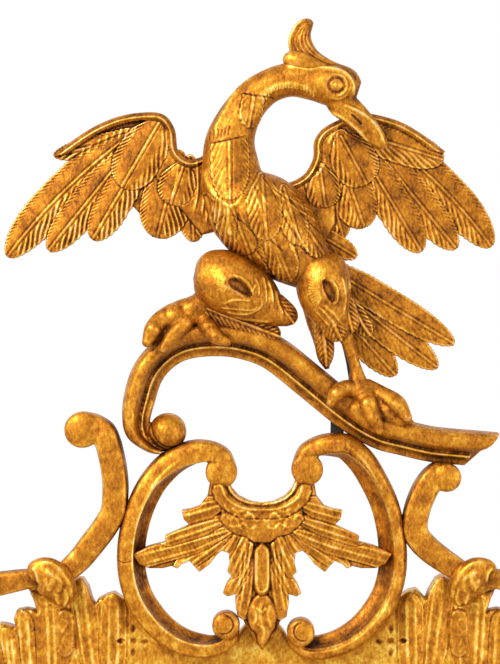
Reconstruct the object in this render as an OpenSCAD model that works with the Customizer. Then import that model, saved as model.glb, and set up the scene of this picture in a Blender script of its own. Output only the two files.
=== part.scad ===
// Giltwood overmantel mirror with a pierced scroll crest and a perched long-necked bird.
// The origin is on the wall plane, in the middle of the foot of the frame:
// +X to the viewer's right, +Y into the wall, +Z up.
// "Depth" below is a distance out from the wall, so it runs along -Y.

/* [Mirror plate] */
// Width of glass seen inside the sight moulding
sight_w = 880; // [760:10:1000]
// Height of glass seen inside the sight moulding
sight_h = 600; // [480:10:760]
// Thickness of the silvered plate
glass_t = 5; // [4:0.5:6]
// How far the sight moulding laps over the plate
rebate = 8; // [6:0.5:11]
// Gap between the plate's edge and the carcass
glass_gap = 1.5; // [1:0.25:2.5]

/* [Carcass] */
// Width of the stiles and of the top rail
rail_w = 80; // [70:1:95]
// Height of the bottom rail, which stands on the shelf
foot_rail_w = 95; // [88:1:120]
// Thickness of the pine carcass
carcass_t = 26; // [24:1:34]
// Space that the wall pads keep behind the carcass
wall_gap = 8; // [7.5:0.5:12]
// Thickness of the backboards
backboard_t = 8; // [6:0.5:10]
// How far the backboards lap onto the carcass
backboard_lap = 9; // [7:0.5:12]
// Number of upright backboards
backboard_count = 3; // [2:1:5]

/* [Sight moulding] */
// Width of the carved moulding round the plate
sight_mould_w = 42; // [34:1:46]
// How far that moulding stands out from the carcass
sight_mould_t = 22; // [18:0.5:28]

/* [Scrolls] */
// Width of the C-scroll bands of the crest
band_w = 25; // [21:0.5:28]
// How far the scrolls stand out from the carcass face
band_t = 26; // [22:0.5:34]
// Width of the outer scrolls beside the crest
outer_band_w = 23; // [19:0.5:26]
// Width of the long scroll on which the bird stands
perch_w = 32; // [27:0.5:35]
// How far the perch stands out from the carcass face
perch_t = 36; // [31:0.5:44]
// Width of the scrolls that border the frame
border_w = 21; // [17:0.5:24]
// How far the border scrolls stand out from the carcass face
border_t = 20; // [16:0.5:26]
// Radius of the volute at each end of a border scroll
border_volute_r = 14; // [11:0.5:17]

/* [Crest] */
// Height of the crest, from its datum line above the top rail to the tip of the plume
crest_h = 582; // [520:1:640]
// Height of the crest's datum line over the top rail
crest_lift = 20; // [14:1:28]
// Thickness of the leaf carving in front of the crest
leaf_t = 12; // [8:0.5:18]
// Depth of the bird's body in front of its flat back
bird_t = 62; // [56:1:72]
// Thickness of the wing boards
wing_t = 18; // [13:0.5:24]

/* [Hangings] */
// Wire thickness of the two hanging rings
ring_wire = 4; // [3.5:0.25:4.5]
// Inside radius of the hanging rings
ring_in_r = 13; // [11:0.5:16]
// Running clearance of a ring in its strap
ring_play = 0.08; // [0.06:0.01:0.1]
// Width of the hanging straps
strap_w = 18; // [14:0.5:22]
// Thickness of the hanging straps
strap_t = 1.6; // [1.2:0.1:1.8]
// Thickness of the brass wall plates
lug_t = 2; // [1.5:0.25:2.5]
// Radius of the screw hole in each brass wall plate
wall_hole_r = 2.75; // [2:0.25:3.5]

/* [Hidden] */
$fn = 48;
GOLD = "goldenrod";
PINE = "burlywood";
BRASS = "darkkhaki";
IRON = "dimgray";
FIT = 0.1; // clearance of a screw in its hole and of a board in its rebate

// Carcass, worked out from the plate
opening_w = sight_w + 2 * rebate;
opening_h = sight_h + 2 * rebate;
half_w = opening_w / 2 + rail_w;
frame_h = foot_rail_w + opening_h + rail_w;
back_d = wall_gap;
face_d = wall_gap + carcass_t;
sight_z = foot_rail_w + rebate;
sight_mid_z = sight_z + sight_h / 2;
edge_x = sight_w / 2 + sight_mould_w; // outer edge of the sight moulding
verge = half_w - edge_x; // carcass face left bare beside the sight moulding

// Crest drawing: made at a height of 582 mm, and scaled with crest_h
drawn_h = 582;
cs = crest_h / drawn_h;
crest_z = frame_h + crest_lift;
function crest(p) = [p[0] * cs, crest_z + p[1] * cs];
function crest_all(pts) = [for (p = pts) [p[0] * cs, crest_z + p[1] * cs, p[2]]];

// ---------------------------------------------------------------- curves
function xy(p) = [p[0], p[1]];
function unit(v) = v / norm(v);
function blend4(a, b, c, d, t) =
    0.5 * (2 * b + (c - a) * t + (2 * a - 5 * b + 4 * c - d) * t * t
    + (3 * b - a - 3 * c + d) * t * t * t);
// A smooth curve through the points, whatever each point holds
function smooth(p, n) = concat(
    [for (i = [0 : len(p) - 2], j = [0 : n - 1])
        blend4(p[max(i - 1, 0)], p[i], p[i + 1], p[min(i + 2, len(p) - 1)], j / n)],
    [p[len(p) - 1]]);
function heading(c, i) = unit(xy(c[min(i + 1, len(c) - 1)]) - xy(c[max(i - 1, 0)]));
function left_of(c, i) = let (t = heading(c, i)) [-t[1], t[0]];
// The curve moved sideways by w times each point's third value
function beside(c, w) = [for (i = [0 : len(c) - 1]) xy(c[i]) + w * c[i][2] * left_of(c, i)];
function reversed(c) = [for (i = [len(c) - 1 : -1 : 0]) c[i]];
function band(c, w) = concat([for (p = c) xy(p)], reversed(beside(c, w)));
// Centre of the disc of radius r that ends the curve, on the side of sign(r); it swells 0.4 mm past the edge
function disc_shift(r) = r - 0.4 * sign(r);
function start_disc(c, r) = xy(c[0]) + disc_shift(r) * left_of(c, 0);
function end_disc(c, r) = xy(c[len(c) - 1]) + disc_shift(r) * left_of(c, len(c) - 1);
// Circular arc from p to q that rises s to the left of the line p-q; the third value tapers the ends
function arc(p, q, s, n = 18) =
    let (h = norm(q - p) / 2, r = (h * h + s * s) / (2 * abs(s)), t = unit(q - p),
        up = [-t[1], t[0]] * sign(s), c = (p + q) / 2 + up * (abs(s) - r), a = asin(h / r))
    [for (i = [0 : n]) let (b = a * (2 * i / n - 1), k = c + r * (t * sin(b) + up * cos(b)))
        [k[0], k[1], 0.72 + 0.28 * sin(180 * i / n)]];
// Half width of a leaf along its length: it swells from the root and rounds off at the tip
function leaf_share(t) = sqrt(min(1, 0.12 + t / 0.4)) * (t < 0.68 ? 1 : sqrt(1 - pow((t - 0.68) / 0.32, 2)));
// Outline of a leaf, feather or flute, bowed to the left of its line by bow
function blade(root, tip, w, bow = 0, n = 12) =
    let (d = unit(tip - root), up = [-d[1], d[0]], mid = (root + tip) / 2 + 2 * bow * up,
        line = [for (i = [0 : n]) let (t = i / n)
            (1 - t) * (1 - t) * root + 2 * t * (1 - t) * mid + t * t * tip],
        side = [for (i = [0 : n]) w / 2 * leaf_share(i / n) * left_of(line, i)])
    concat([for (i = [0 : n]) line[i] + side[i]], [for (i = [n - 1 : -1 : 0]) line[i] - side[i]]);

// ---------------------------------------------------------------- solids
// Draws a front-view outline as a board from depth d0 to depth d1
module board(d0, d1) translate([0, -d0, 0]) rotate([90, 0, 0]) linear_extrude(d1 - d0) children();
// Puts a left-hand piece on either side: side is -1 for left, 1 for right
module on_side(side) mirror([side > 0 ? 1 : 0, 0, 0]) children();
// Round peg along the depth at a front-view point
module peg(p, d0, d1, r) translate([p[0], -d0, p[1]]) rotate([90, 0, 0]) cylinder(r = r, h = d1 - d0);
// Countersunk wood screw with its head at depth d0, pointing away from the wall
module screw(p, d0, length, r = 2) {
    peg(p, d0, d0 + length, r);
    translate([p[0], -d0, p[1]]) rotate([90, 0, 0]) cylinder(r1 = 2 * r, r2 = r, h = r);
}
// The hole that such a screw fills
module screw_hole(p, d0, length, r = 2) {
    peg(p, d0 - 1, d0 + length + FIT, r + FIT);
    translate([p[0], -d0, p[1]]) rotate([90, 0, 0])
        cylinder(r1 = 2 * r + FIT, r2 = r + FIT, h = r);
}
// Domed disc that ends a scroll
module volute(p, d0, d1, r) {
    crown = 0.3 * r;
    dome_r = (r * r + crown * crown) / (2 * crown);
    spread = asin(r / dome_r);
    dome = [for (i = [6 : -1 : 0]) let (a = spread * i / 6)
        [dome_r * sin(a), d1 - d0 + crown - dome_r * (1 - cos(a))]];
    translate([p[0], -d0, p[1]]) rotate([90, 0, 0]) rotate_extrude()
        polygon(concat([[0, 0], [r, 0]], dome));
}
// Scroll band in two steps: the full width low down, and its front face standing proud
module scroll(c, w, t, face_share) {
    board(face_d, face_d + 0.55 * t) polygon(band(c, w));
    board(face_d, face_d + t) polygon(band(c, w * face_share));
}
// A closed skin through elliptical stations [x, z, depth, half width, half depth]
module skin(stations, sides = 16, n = 3) {
    s = smooth(stations, n);
    last = len(s) - 1;
    at = [for (p = s) [p[0], -p[2], p[1]]];
    rings = [for (i = [0 : last]) let (
        t = unit(at[min(i + 1, last)] - at[max(i - 1, 0)]),
        across = unit(cross(t, [0, 1, 0])), out = cross(across, t))
        [for (j = [0 : sides - 1]) at[i] + s[i][3] * cos(360 * j / sides) * across
            + s[i][4] * sin(360 * j / sides) * out]];
    points = [for (r = rings, p = r) p];
    walls = [for (i = [0 : last - 1], j = [0 : sides - 1]) let (
        a = i * sides + j, b = i * sides + (j + 1) % sides) each
        [[a, b, b + sides], [a, b + sides, a + sides]]];
    ends = [[for (j = [sides - 1 : -1 : 0]) j], [for (j = [0 : sides - 1]) last * sides + j]];
    polyhedron(points, concat(walls, ends));
}
function crest_station(p) = [p[0] * cs, crest_z + p[1] * cs, p[2], p[3] * cs, p[4]];
module crest_skin(stations, sides = 16, n = 3) skin([for (p = stations) crest_station(p)], sides, n);

// ---------------------------------------------------------------- carcass
lap_d = back_d + carcass_t / 2;
backs_w = opening_w + 2 * backboard_lap;
backs_h = opening_h + 2 * backboard_lap;
back_screw_inset = backboard_lap / 2;
back_board_w = (backs_w - (backboard_count + 1) * 2 * FIT) / backboard_count;
function back_board_x(i) = -backs_w / 2 + 2 * FIT + i * (back_board_w + 2 * FIT);
back_screw_r = 1.4;
back_screw_l = backboard_t + 9;
back_screw_points = [for (i = [0 : backboard_count - 1], u = [0.2, 0.8], e = [0, 1])
    [back_board_x(i) + u * back_board_w,
        e == 0 ? foot_rail_w - back_screw_inset : foot_rail_w + opening_h + back_screw_inset]];

module back_rebate() board(back_d - 1, back_d + backboard_t)
    translate([-backs_w / 2, foot_rail_w - backboard_lap]) square([backs_w, backs_h]);
module back_screw_holes() for (p = back_screw_points) screw_hole(p, back_d, back_screw_l, back_screw_r);

// A rail runs the full width, and is halved behind each stile
module rail(z0, h) color(PINE) difference() {
    board(back_d, face_d) translate([-half_w, z0]) square([2 * half_w, h]);
    for (side = [-1, 1]) board(back_d - 1, lap_d)
        translate([side < 0 ? -half_w - 1 : half_w - rail_w, z0 - 1]) square([rail_w + 1, h + 2]);
    back_rebate();
    back_screw_holes();
    batten_screw_holes();
}
module top_rail() rail(foot_rail_w + opening_h, rail_w);
module bottom_rail() rail(0, foot_rail_w);
// A stile runs the full height, and is halved in front of each rail's end
module stile(side) color(PINE) on_side(side) difference() {
    board(back_d, face_d) translate([-half_w, 0]) square([rail_w, frame_h]);
    board(lap_d, face_d + 1) translate([-half_w - 1, -1]) square([rail_w + 2, foot_rail_w + 1]);
    board(lap_d, face_d + 1) translate([-half_w - 1, frame_h - rail_w]) square([rail_w + 2, rail_w + 1]);
    back_rebate();
    hanger_screw_holes();
    wall_plate_screw_holes();
}
module left_stile() stile(-1);
module right_stile() stile(1);

// ---------------------------------------------------------------- plate and its back
plate_w = opening_w - 2 * glass_gap;
plate_h = opening_h - 2 * glass_gap;
plate_d = face_d - glass_t;
bevel_w = 22;
bevel_t = 1.6;
module mirror_plate() color("lightsteelblue") difference() {
    board(plate_d, face_d) translate([-plate_w / 2, foot_rail_w + glass_gap]) square([plate_w, plate_h]);
    for (side = [-1, 1]) {
        translate([side * plate_w / 2, -face_d, 0]) rotate([0, 0, side * atan(bevel_t / bevel_w)])
            translate([-bevel_w * 1.2, -bevel_t * 4, 0]) cube([bevel_w * 2.4, bevel_t * 3, frame_h]);
        translate([-half_w, -face_d, sight_mid_z + side * plate_h / 2])
            rotate([-side * atan(bevel_t / bevel_w), 0, 0]) translate([0, -bevel_t * 4, -bevel_w * 1.2])
            cube([2 * half_w, bevel_t * 3, bevel_w * 2.4]);
    }
}
// Softwood blocks glued round the opening, which press the plate against the moulding
block_l = 34;
block_w = 11;
block_count = 4;
block_h = plate_d - back_d - backboard_t;
module wedge(d0, d1) rotate([90, 0, 90]) linear_extrude(block_l, center = true)
    polygon([[-d1, 0], [-d1, block_w], [-d0, block_w / 3], [-d0, 0]]);
module glass_blocks() color(PINE) for (i = [0 : block_count - 1]) {
    x = opening_w * ((i + 0.5) / block_count - 0.5);
    z = opening_h * ((i + 0.5) / block_count - 0.5);
    translate([x, 0, foot_rail_w]) wedge(plate_d - block_h, plate_d);
    translate([x, 0, foot_rail_w + opening_h]) mirror([0, 0, 1]) wedge(plate_d - block_h, plate_d);
    for (side = [-1, 1]) translate([side * opening_w / 2, 0, sight_mid_z + z])
        rotate([0, -side * 90, 0]) wedge(plate_d - block_h, plate_d);
}
module backboards() color(PINE) for (i = [0 : backboard_count - 1]) difference() {
    board(back_d, back_d + backboard_t) translate([back_board_x(i), foot_rail_w - backboard_lap + FIT])
        square([back_board_w, backs_h - 2 * FIT]);
    back_screw_holes();
}
module backboard_screws() color(IRON)
    for (p = back_screw_points) screw(p, back_d, back_screw_l, back_screw_r);

// ---------------------------------------------------------------- sight moulding
bead_r = 5;
bead_w = 2 * bead_r + 1; // flat under the bead
lip_t = 8; // thickness of the moulding under the bead
cove_r = sight_mould_t - lip_t - 1;
chamfer = 3; // outer arris of the moulding
// Section of the moulding: x runs outwards from the sight edge, y stands out from the carcass face
module coved_section() difference() {
    polygon([[0, 0], [0, lip_t], [bead_w, lip_t], [bead_w, sight_mould_t],
        [sight_mould_w - chamfer, sight_mould_t], [sight_mould_w, sight_mould_t - chamfer],
        [sight_mould_w, 0]]);
    translate([bead_w, sight_mould_t]) circle(cove_r);
}
module moulding_bar(l) linear_extrude(l + 2 * sight_mould_w) mirror([1, 0]) rotate(90) children();
// One mitred side, made as a bottom member of clear length l, with its sight edge at z = 0
module mitred(l) intersection() {
    translate([-l / 2 - sight_mould_w, -face_d, 0]) rotate([90, 180, 90]) {
        moulding_bar(l) coved_section();
        moulding_bar(l) translate([bead_w / 2, lip_t - 0.2 * bead_r]) circle(bead_r);
    }
    board(face_d - 1, face_d + 2 * sight_mould_t)
        polygon([[-l / 2, 0], [l / 2, 0], [l / 2 + sight_mould_w, -sight_mould_w],
            [-l / 2 - sight_mould_w, -sight_mould_w]]);
}
module sight_moulding_bottom() color(GOLD) translate([0, 0, sight_z]) mitred(sight_w);
module sight_moulding_top() color(GOLD)
    translate([0, 0, sight_z + sight_h]) mirror([0, 0, 1]) mitred(sight_w);
module sight_moulding_side(side) color(GOLD)
    translate([side * sight_w / 2, 0, sight_mid_z]) rotate([0, -side * 90, 0]) mitred(sight_h);
module sight_moulding_left() sight_moulding_side(-1);
module sight_moulding_right() sight_moulding_side(1);

// ---------------------------------------------------------------- border of the frame
bottom_run_z = sight_z - sight_mould_w - 2 * border_volute_r - 2;
bottom_edge = arc([60 + border_volute_r, bottom_run_z], [edge_x - 30, bottom_run_z], 8 - bottom_run_z);
side_run_x = -edge_x - 2 * border_volute_r - 1.5;
side_swell = half_w + side_run_x + 8;
side_leaf_half = 22;
plate_z = 120; // height of the brass wall plates
lower_side_edge = arc([side_run_x, sight_mid_z - side_leaf_half - 12],
    [side_run_x, plate_z + 45], -side_swell);
upper_side_edge = arc([side_run_x, frame_h - 75],
    [side_run_x, sight_mid_z + side_leaf_half + 12], -side_swell);
shoulder_from = crest([-236, 83]);
shoulder_to = [-half_w + 6, frame_h - 28];
function shoulder_at(u, rise) = concat(shoulder_from + (shoulder_to - shoulder_from) * u + [0, rise], [1]);
shoulder_edge = smooth([concat(crest([-190, 86]), [0.6]), shoulder_at(0, 0), shoulder_at(0.3, 22),
    shoulder_at(0.62, 26), shoulder_at(0.87, 20), shoulder_at(1, 0)], 5);

module volute_end(p, t, r) volute(p, face_d, face_d + 0.85 * t, r);
module c_scroll(c, w, t, r) {
    scroll(c, w, t, 0.6);
    volute_end(start_disc(c, r), t, r);
    volute_end(end_disc(c, r), t, r);
}
module bottom_scroll(side) color(GOLD) mirror([side < 0 ? 1 : 0, 0, 0])
    c_scroll(bottom_edge, border_w, border_t, border_volute_r);
module bottom_scroll_left() bottom_scroll(-1);
module bottom_scroll_right() bottom_scroll(1);
module side_scroll(side, edge) color(GOLD) on_side(side) c_scroll(edge, border_w, border_t, border_volute_r);
module side_scroll_lower_left() side_scroll(-1, lower_side_edge);
module side_scroll_lower_right() side_scroll(1, lower_side_edge);
module side_scroll_upper_left() side_scroll(-1, upper_side_edge);
module side_scroll_upper_right() side_scroll(1, upper_side_edge);

// The shoulder scroll sweeps from the crest down onto the upper corner
shoulder_disc = end_disc(shoulder_edge, border_volute_r);
module shoulder_outline() {
    polygon(band(shoulder_edge, border_w));
    translate(shoulder_disc) circle(border_volute_r);
}
module shoulder_scroll(side) color(GOLD) on_side(side) {
    scroll(shoulder_edge, border_w, border_t, 0.6);
    volute_end(shoulder_disc, border_t, border_volute_r);
}
module shoulder_scroll_left() shoulder_scroll(-1);
module shoulder_scroll_right() shoulder_scroll(1);

// Leaves that cover the ends of the border scrolls
module leaves(root, tips, w) for (p = tips) polygon(blade(root, p, w));
side_leaf_root = [-edge_x - 5, sight_mid_z];
module side_leaf(side) color(GOLD) on_side(side) {
    board(face_d, face_d + leaf_t) leaves(side_leaf_root, [side_leaf_root + [-46, 17],
        side_leaf_root + [-46, -17]], 15);
    board(face_d, face_d + leaf_t + 5) leaves(side_leaf_root, [side_leaf_root + [-58, 0]], 20);
}
module side_leaf_left() side_leaf(-1);
module side_leaf_right() side_leaf(1);
upper_root = shoulder_disc;
module upper_corner_leaf(side) color(GOLD) on_side(side) difference() {
    union() {
        board(face_d, face_d + leaf_t) leaves(upper_root, [upper_root + [-50, 4],
            upper_root + [-2, 74]], 24);
        board(face_d, face_d + leaf_t + 6) leaves(upper_root, [upper_root + [-52, 38],
            upper_root + [-30, 64]], 27);
    }
    board(face_d - 1, face_d + 2 * leaf_t + 8) shoulder_outline();
}
module upper_corner_leaf_left() upper_corner_leaf(-1);
module upper_corner_leaf_right() upper_corner_leaf(1);
lower_root = [-edge_x - 5, sight_z - sight_mould_w - 5];
module lower_corner_leaf(side) color(GOLD) on_side(side) {
    board(face_d, face_d + leaf_t) leaves(lower_root, [lower_root + [-37, 26],
        lower_root + [-44, -4], lower_root + [4, -48]], 20);
    board(face_d, face_d + leaf_t + 6) leaves(lower_root, [lower_root + [-42, -32],
        lower_root + [-20, -50]], 24);
}
module lower_corner_leaf_left() lower_corner_leaf(-1);
module lower_corner_leaf_right() lower_corner_leaf(1);
shell_r = sight_z - sight_mould_w - 10;
module bottom_shell() color(GOLD) {
    board(face_d, face_d + leaf_t) for (a = [-75 : 25 : 75])
        polygon(blade([0, 6], [0, 6] + shell_r * [sin(a), cos(a)], 17));
    volute([0, 16], face_d, face_d + leaf_t + 4, 9);
}

// ---------------------------------------------------------------- crest outlines
// Edge points are [x, z, share of the band's width], in the crest drawing
ring_left_edge = smooth(crest_all([[-23, 178, 0.3], [-29, 192, 0.52], [-42, 200, 0.72], [-60, 202, 0.86],
    [-78, 197, 0.94], [-95, 186, 1], [-110, 168, 1], [-122, 143, 1], [-129, 115, 1], [-130, 86, 1],
    [-124, 60, 1], [-113, 40, 1], [-96, 22, 0.96], [-75, 10, 0.9], [-52, 6, 0.82], [-33, 11, 0.66],
    [-22, 22, 0.48], [-20, 35, 0.3]]), 3);
ring_right_edge = smooth(crest_all([[-27, 180, 0.3], [-33, 195, 0.52], [-46, 204, 0.72], [-62, 208, 0.86],
    [-80, 206, 0.94], [-98, 192, 1], [-112, 170, 1], [-123, 145, 1], [-129, 116, 1], [-130, 86, 1],
    [-124, 60, 1], [-113, 40, 1], [-96, 22, 0.96], [-75, 10, 0.9], [-52, 4.5, 0.82], [-35, 7, 0.66],
    [-25, 16, 0.48], [-22.5, 28, 0.3]]), 3);
ring_top_r = 13.5;
ring_low_r = 12.4;
outer_left_edge = smooth(crest_all([[-157.5, 227, -0.3], [-146, 224, -0.7], [-134, 216, -0.95],
    [-127.5, 203, -1], [-123, 185, -1], [-120.5, 167, -1], [-120.3, 152, -1], [-122.5, 134, -1],
    [-131, 118, -1], [-143, 102, -1], [-155, 88, -0.95], [-168, 77, -0.88], [-178, 71, -0.8]]), 4);
outer_left_r = 16.2;
outer_right_edge = smooth(crest_all([[167, 181.5, 0.3], [155, 182, 0.7], [144, 173.5, 0.95],
    [135.5, 161, 1], [128.5, 143, 1], [125.5, 125, 1], [128.5, 111, 1], [140, 97, 1], [155, 86, 0.95],
    [170, 77, 0.88], [180, 71, 0.8]]), 4);
outer_right_r = 13;
perch_edge = smooth(crest_all([[-87, 195, 0.22], [-96, 201, 0.4], [-101, 211, 0.68], [-100.5, 221, 0.8],
    [-97, 234, 0.88], [-90.5, 254, 0.9], [-79.5, 267, 0.92], [-65, 274.5, 0.97], [-42, 277, 1],
    [-20, 274.5, 1], [3, 265.5, 1], [34, 241, 1], [70, 212, 1], [99, 195, 1], [124, 188, 1], [151, 182, 1],
    [182, 179, 1]]), 3);
perch_ball = crest([-84.6, 209.5]);
perch_ball_r = 16.8;
perch_ball_swell = 0.3; // the ball stands this much proud of the disc under it
perch_last = len(perch_edge) - 1;
function perch_end(out, on) = xy(perch_edge[perch_last])
    + perch_w * (out * left_of(perch_edge, perch_last) + on * heading(perch_edge, perch_last));

module ring_outline(edge) {
    polygon(band(edge, band_w));
    translate(start_disc(edge, ring_top_r)) circle(ring_top_r);
    translate(end_disc(edge, ring_low_r)) circle(ring_low_r);
}
module perch_outline() {
    polygon(band(perch_edge, perch_w));
    polygon([perch_end(0, 0), perch_end(0.37, 0.16), perch_end(0.56, 0.6), perch_end(1, 0.9),
        perch_end(1, -0.1), perch_end(0, -0.1)]);
    translate(perch_ball) circle(perch_ball_r);
}

// ---------------------------------------------------------------- crest panel
panel_left = [[-24, 21], [-52, 22.5], [-74, 27.5], [-92, 40], [-106, 55], [-116, 61], [-126, 57.6],
    [-134, 63], [-141, 61], [-148.5, 57], [-151, 52], [-154, 57.6], [-157, 68], [-162, 76], [-166.5, 76],
    [-174, 72], [-182, 83], [-196, 84], [-238, 80], [-238, 69], [-211, 66], [-207, 58], [-202.5, 44],
    [-206, 47], [-214, 48.6], [-222, 47], [-224.5, 39.6], [-222, 30.6], [-228.6, 33.3], [-236, 35],
    [-245, 33], [-252, 25], [-250, 15], [-258, 14], [-270, 8], [-286, -2], [-296, -12]];
panel_right = [[24, 21], [52, 22.5], [74, 27.5], [92, 40], [106, 55], [116, 61], [126, 60], [133, 64.8],
    [140.4, 66.6], [148.5, 57.6], [151.2, 64.8], [157.5, 75.6], [163, 79], [169, 76], [176, 74],
    [182, 83], [196, 84], [238, 80], [238, 69], [211, 66], [207, 58], [202.5, 44], [206, 47],
    [214, 48.6], [222, 47], [224.5, 39.6], [222, 30.6], [228.6, 33.3], [236, 35], [245, 33],
    [252, 25], [250, 15], [258, 14], [270, 8], [286, -2], [296, -12]];
panel_middle = [[-20, 28], [-12, 37], [0, 40], [12, 37], [20, 28]];
panel_half_w = 300 * cs; // half the foot of the panel, which stands on the top rail
panel_flutes = [[[-120, -8], [-138, 54], 15], [[-150, -8], [-152, 44], 12], [[-160, -8], [-164, 68], 14],
    [[-176, -8], [-184, 60], 15], [[-194, -8], [-200, 40], 13], [[-198, -10], [-217, 42], 15],
    [[-208, -12], [-240, 28], 16], [[-222, -14], [-262, 4], 14]];
batten_x = 155 * cs;
batten_w = 28;
batten_top = crest_z + 44 * cs;
batten_foot = frame_h - 52;
batten_t = wall_gap - 2;
batten_screw_l = batten_t + 14;
batten_screw_points = [for (side = [-1, 1], z = [batten_foot + 12, batten_foot + 34, frame_h + 14,
    batten_top - 12]) [side * batten_x + (z == batten_foot + 34 ? 6 : -6), z]];
function ring_screw_points(edge) = [for (i = [36, 42]) xy(edge[i]) + 0.35 * band_w * left_of(edge, i)];
ring_screws = [for (side = [-1, 1], p = ring_screw_points(ring_left_edge)) [-side * p[0], p[1]]];
ring_screw_l = carcass_t + 12;
module batten_screw_holes() for (p = batten_screw_points)
    screw_hole(p, back_d - batten_t, batten_screw_l, 2);
module ring_screw_holes() for (p = ring_screws) screw_hole(p, back_d, ring_screw_l, 2);
module crest_panel() color(GOLD) difference() {
    union() {
        board(back_d, face_d) {
            polygon(concat([[-panel_half_w, frame_h]], [for (p = reversed(panel_left)) crest(p)],
                [for (p = panel_middle) crest(p)], [for (p = panel_right) crest(p)],
                [[panel_half_w, frame_h]]));
        }
        for (side = [-1, 1]) on_side(side)
            board(face_d - 1, face_d + 0.45 * leaf_t) for (f = panel_flutes)
                polygon(blade(crest([f[0][0], f[0][1]]), crest([f[1][0], f[1][1]]), f[2] * cs));
    }
    batten_screw_holes();
    ring_screw_holes();
    for (side = [-1, 1]) on_side(side) board(face_d, face_d + leaf_t) {
        ring_outline(side < 0 ? ring_left_edge : ring_right_edge);
        shoulder_outline();
        outer_outline(side < 0 ? outer_left_edge : mirrored(outer_right_edge));
    }
}
module crest_battens() color(PINE) difference() {
    for (side = [-1, 1]) board(back_d - batten_t, back_d)
        translate([side * batten_x - batten_w / 2, batten_foot]) square([batten_w, batten_top - batten_foot]);
    batten_screw_holes();
}
module batten_screws() color(IRON) {
    for (p = batten_screw_points) screw(p, back_d - batten_t, batten_screw_l, 2);
    for (p = ring_screws) screw(p, back_d, ring_screw_l, 2);
}

// ---------------------------------------------------------------- scrolls of the crest
function mirrored(c) = [for (p = c) [-p[0], p[1], -p[2]]];
module outer_outline(edge) polygon(band(edge, outer_band_w));
module crest_scroll(side, edge) color(GOLD) on_side(side) difference() {
    union() {
        scroll(edge, band_w, band_t, 0.58);
        volute_end(start_disc(edge, ring_top_r), band_t, ring_top_r);
        volute_end(end_disc(edge, ring_low_r), band_t, ring_low_r);
    }
    on_side(side) ring_screw_holes();
    on_side(side) joint_screw_holes();
}
module crest_scroll_left() crest_scroll(-1, ring_left_edge);
module crest_scroll_right() crest_scroll(1, ring_right_edge);
module outer_scroll_left() color(GOLD) difference() {
    union() {
        scroll(outer_left_edge, outer_band_w, band_t, 0.6);
        volute_end(start_disc(outer_left_edge, -outer_left_r), band_t, outer_left_r);
    }
    board(face_d - 1, face_d + band_t + 1) ring_outline(ring_left_edge);
    board(face_d - 1, face_d + band_t + 1) shoulder_outline();
}
module outer_scroll_right() color(GOLD) difference() {
    union() {
        scroll(outer_right_edge, outer_band_w, band_t, 0.6);
        volute_end(start_disc(outer_right_edge, outer_right_r), band_t, outer_right_r);
    }
    board(face_d - 1, face_d + band_t + 1) mirror([1, 0]) ring_outline(ring_right_edge);
    board(face_d - 1, face_d + band_t + 1) mirror([1, 0]) shoulder_outline();
    board(face_d - 1, face_d + band_t + 1) perch_outline();
}
module perch_scroll() color(GOLD) difference() {
    union() {
        board(face_d, face_d + 0.55 * perch_t) perch_outline();
        board(face_d, face_d + perch_t) polygon(concat(beside(perch_edge, perch_w * 0.42),
            [perch_end(0.56, 0.6), perch_end(1, 0.9)], reversed(beside(perch_edge, perch_w))));
        volute(perch_ball, face_d, face_d + 0.7 * perch_t, perch_ball_r + perch_ball_swell);
    }
    rings_through();
    stay_screw_holes();
    joint_screw_holes();
}
// Room for the two rings, right through the perch
module rings_through() board(face_d - 1, face_d + perch_t + 1) {
    ring_outline(ring_left_edge);
    mirror([1, 0]) ring_outline(ring_right_edge);
}

// ---------------------------------------------------------------- clasps and cartouche
clasp_root = crest([-172, 66]);
module clasp_leaf(side) color(GOLD) on_side(side) {
    board(face_d + band_t, face_d + band_t + leaf_t) leaves(clasp_root,
        [crest([-196, 90]), crest([-170, 92])], 21 * cs);
    board(face_d + band_t, face_d + band_t + 0.7 * leaf_t) leaves(crest([-168, 76]),
        [crest([-202, 72]), crest([-190, 60])], 20 * cs);
}
module clasp_leaf_left() clasp_leaf(-1);
module clasp_leaf_right() clasp_leaf(1);

// Half outline of the hanging leaf, from the middle of its collar round to its foot
leaf_half = [[0, 145], [-11, 147], [-22, 152], [-29, 161], [-34, 164], [-42, 158], [-45, 155], [-49, 148],
    [-56, 143], [-65, 140], [-72, 139], [-70, 131], [-65, 126], [-76, 121], [-87, 116], [-86, 111],
    [-101, 107], [-116, 100], [-110, 91], [-101, 87], [-89, 87], [-81, 89], [-76, 87], [-72, 91],
    [-65, 94], [-58, 86], [-56, 84], [-47, 91], [-40, 100], [-36, 103], [-30, 101], [-29, 92],
    [-31, 84], [-27, 80], [-32, 73], [-35, 65], [-31, 62], [-24, 64], [-24, 56], [-22, 44],
    [-17, 41], [-10, 26], [0, 14]];
leaf_lobe_tips = [[-50, 130], [-96, 103], [-56, 92], [-26, 72]];
oval_at = crest([0, 85]);
module leaf_outline() polygon(concat([for (p = leaf_half) crest(p)],
    [for (i = [len(leaf_half) - 2 : -1 : 1]) crest([-leaf_half[i][0], leaf_half[i][1]])]));
leaf_d = face_d + 0.55 * band_t;
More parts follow.
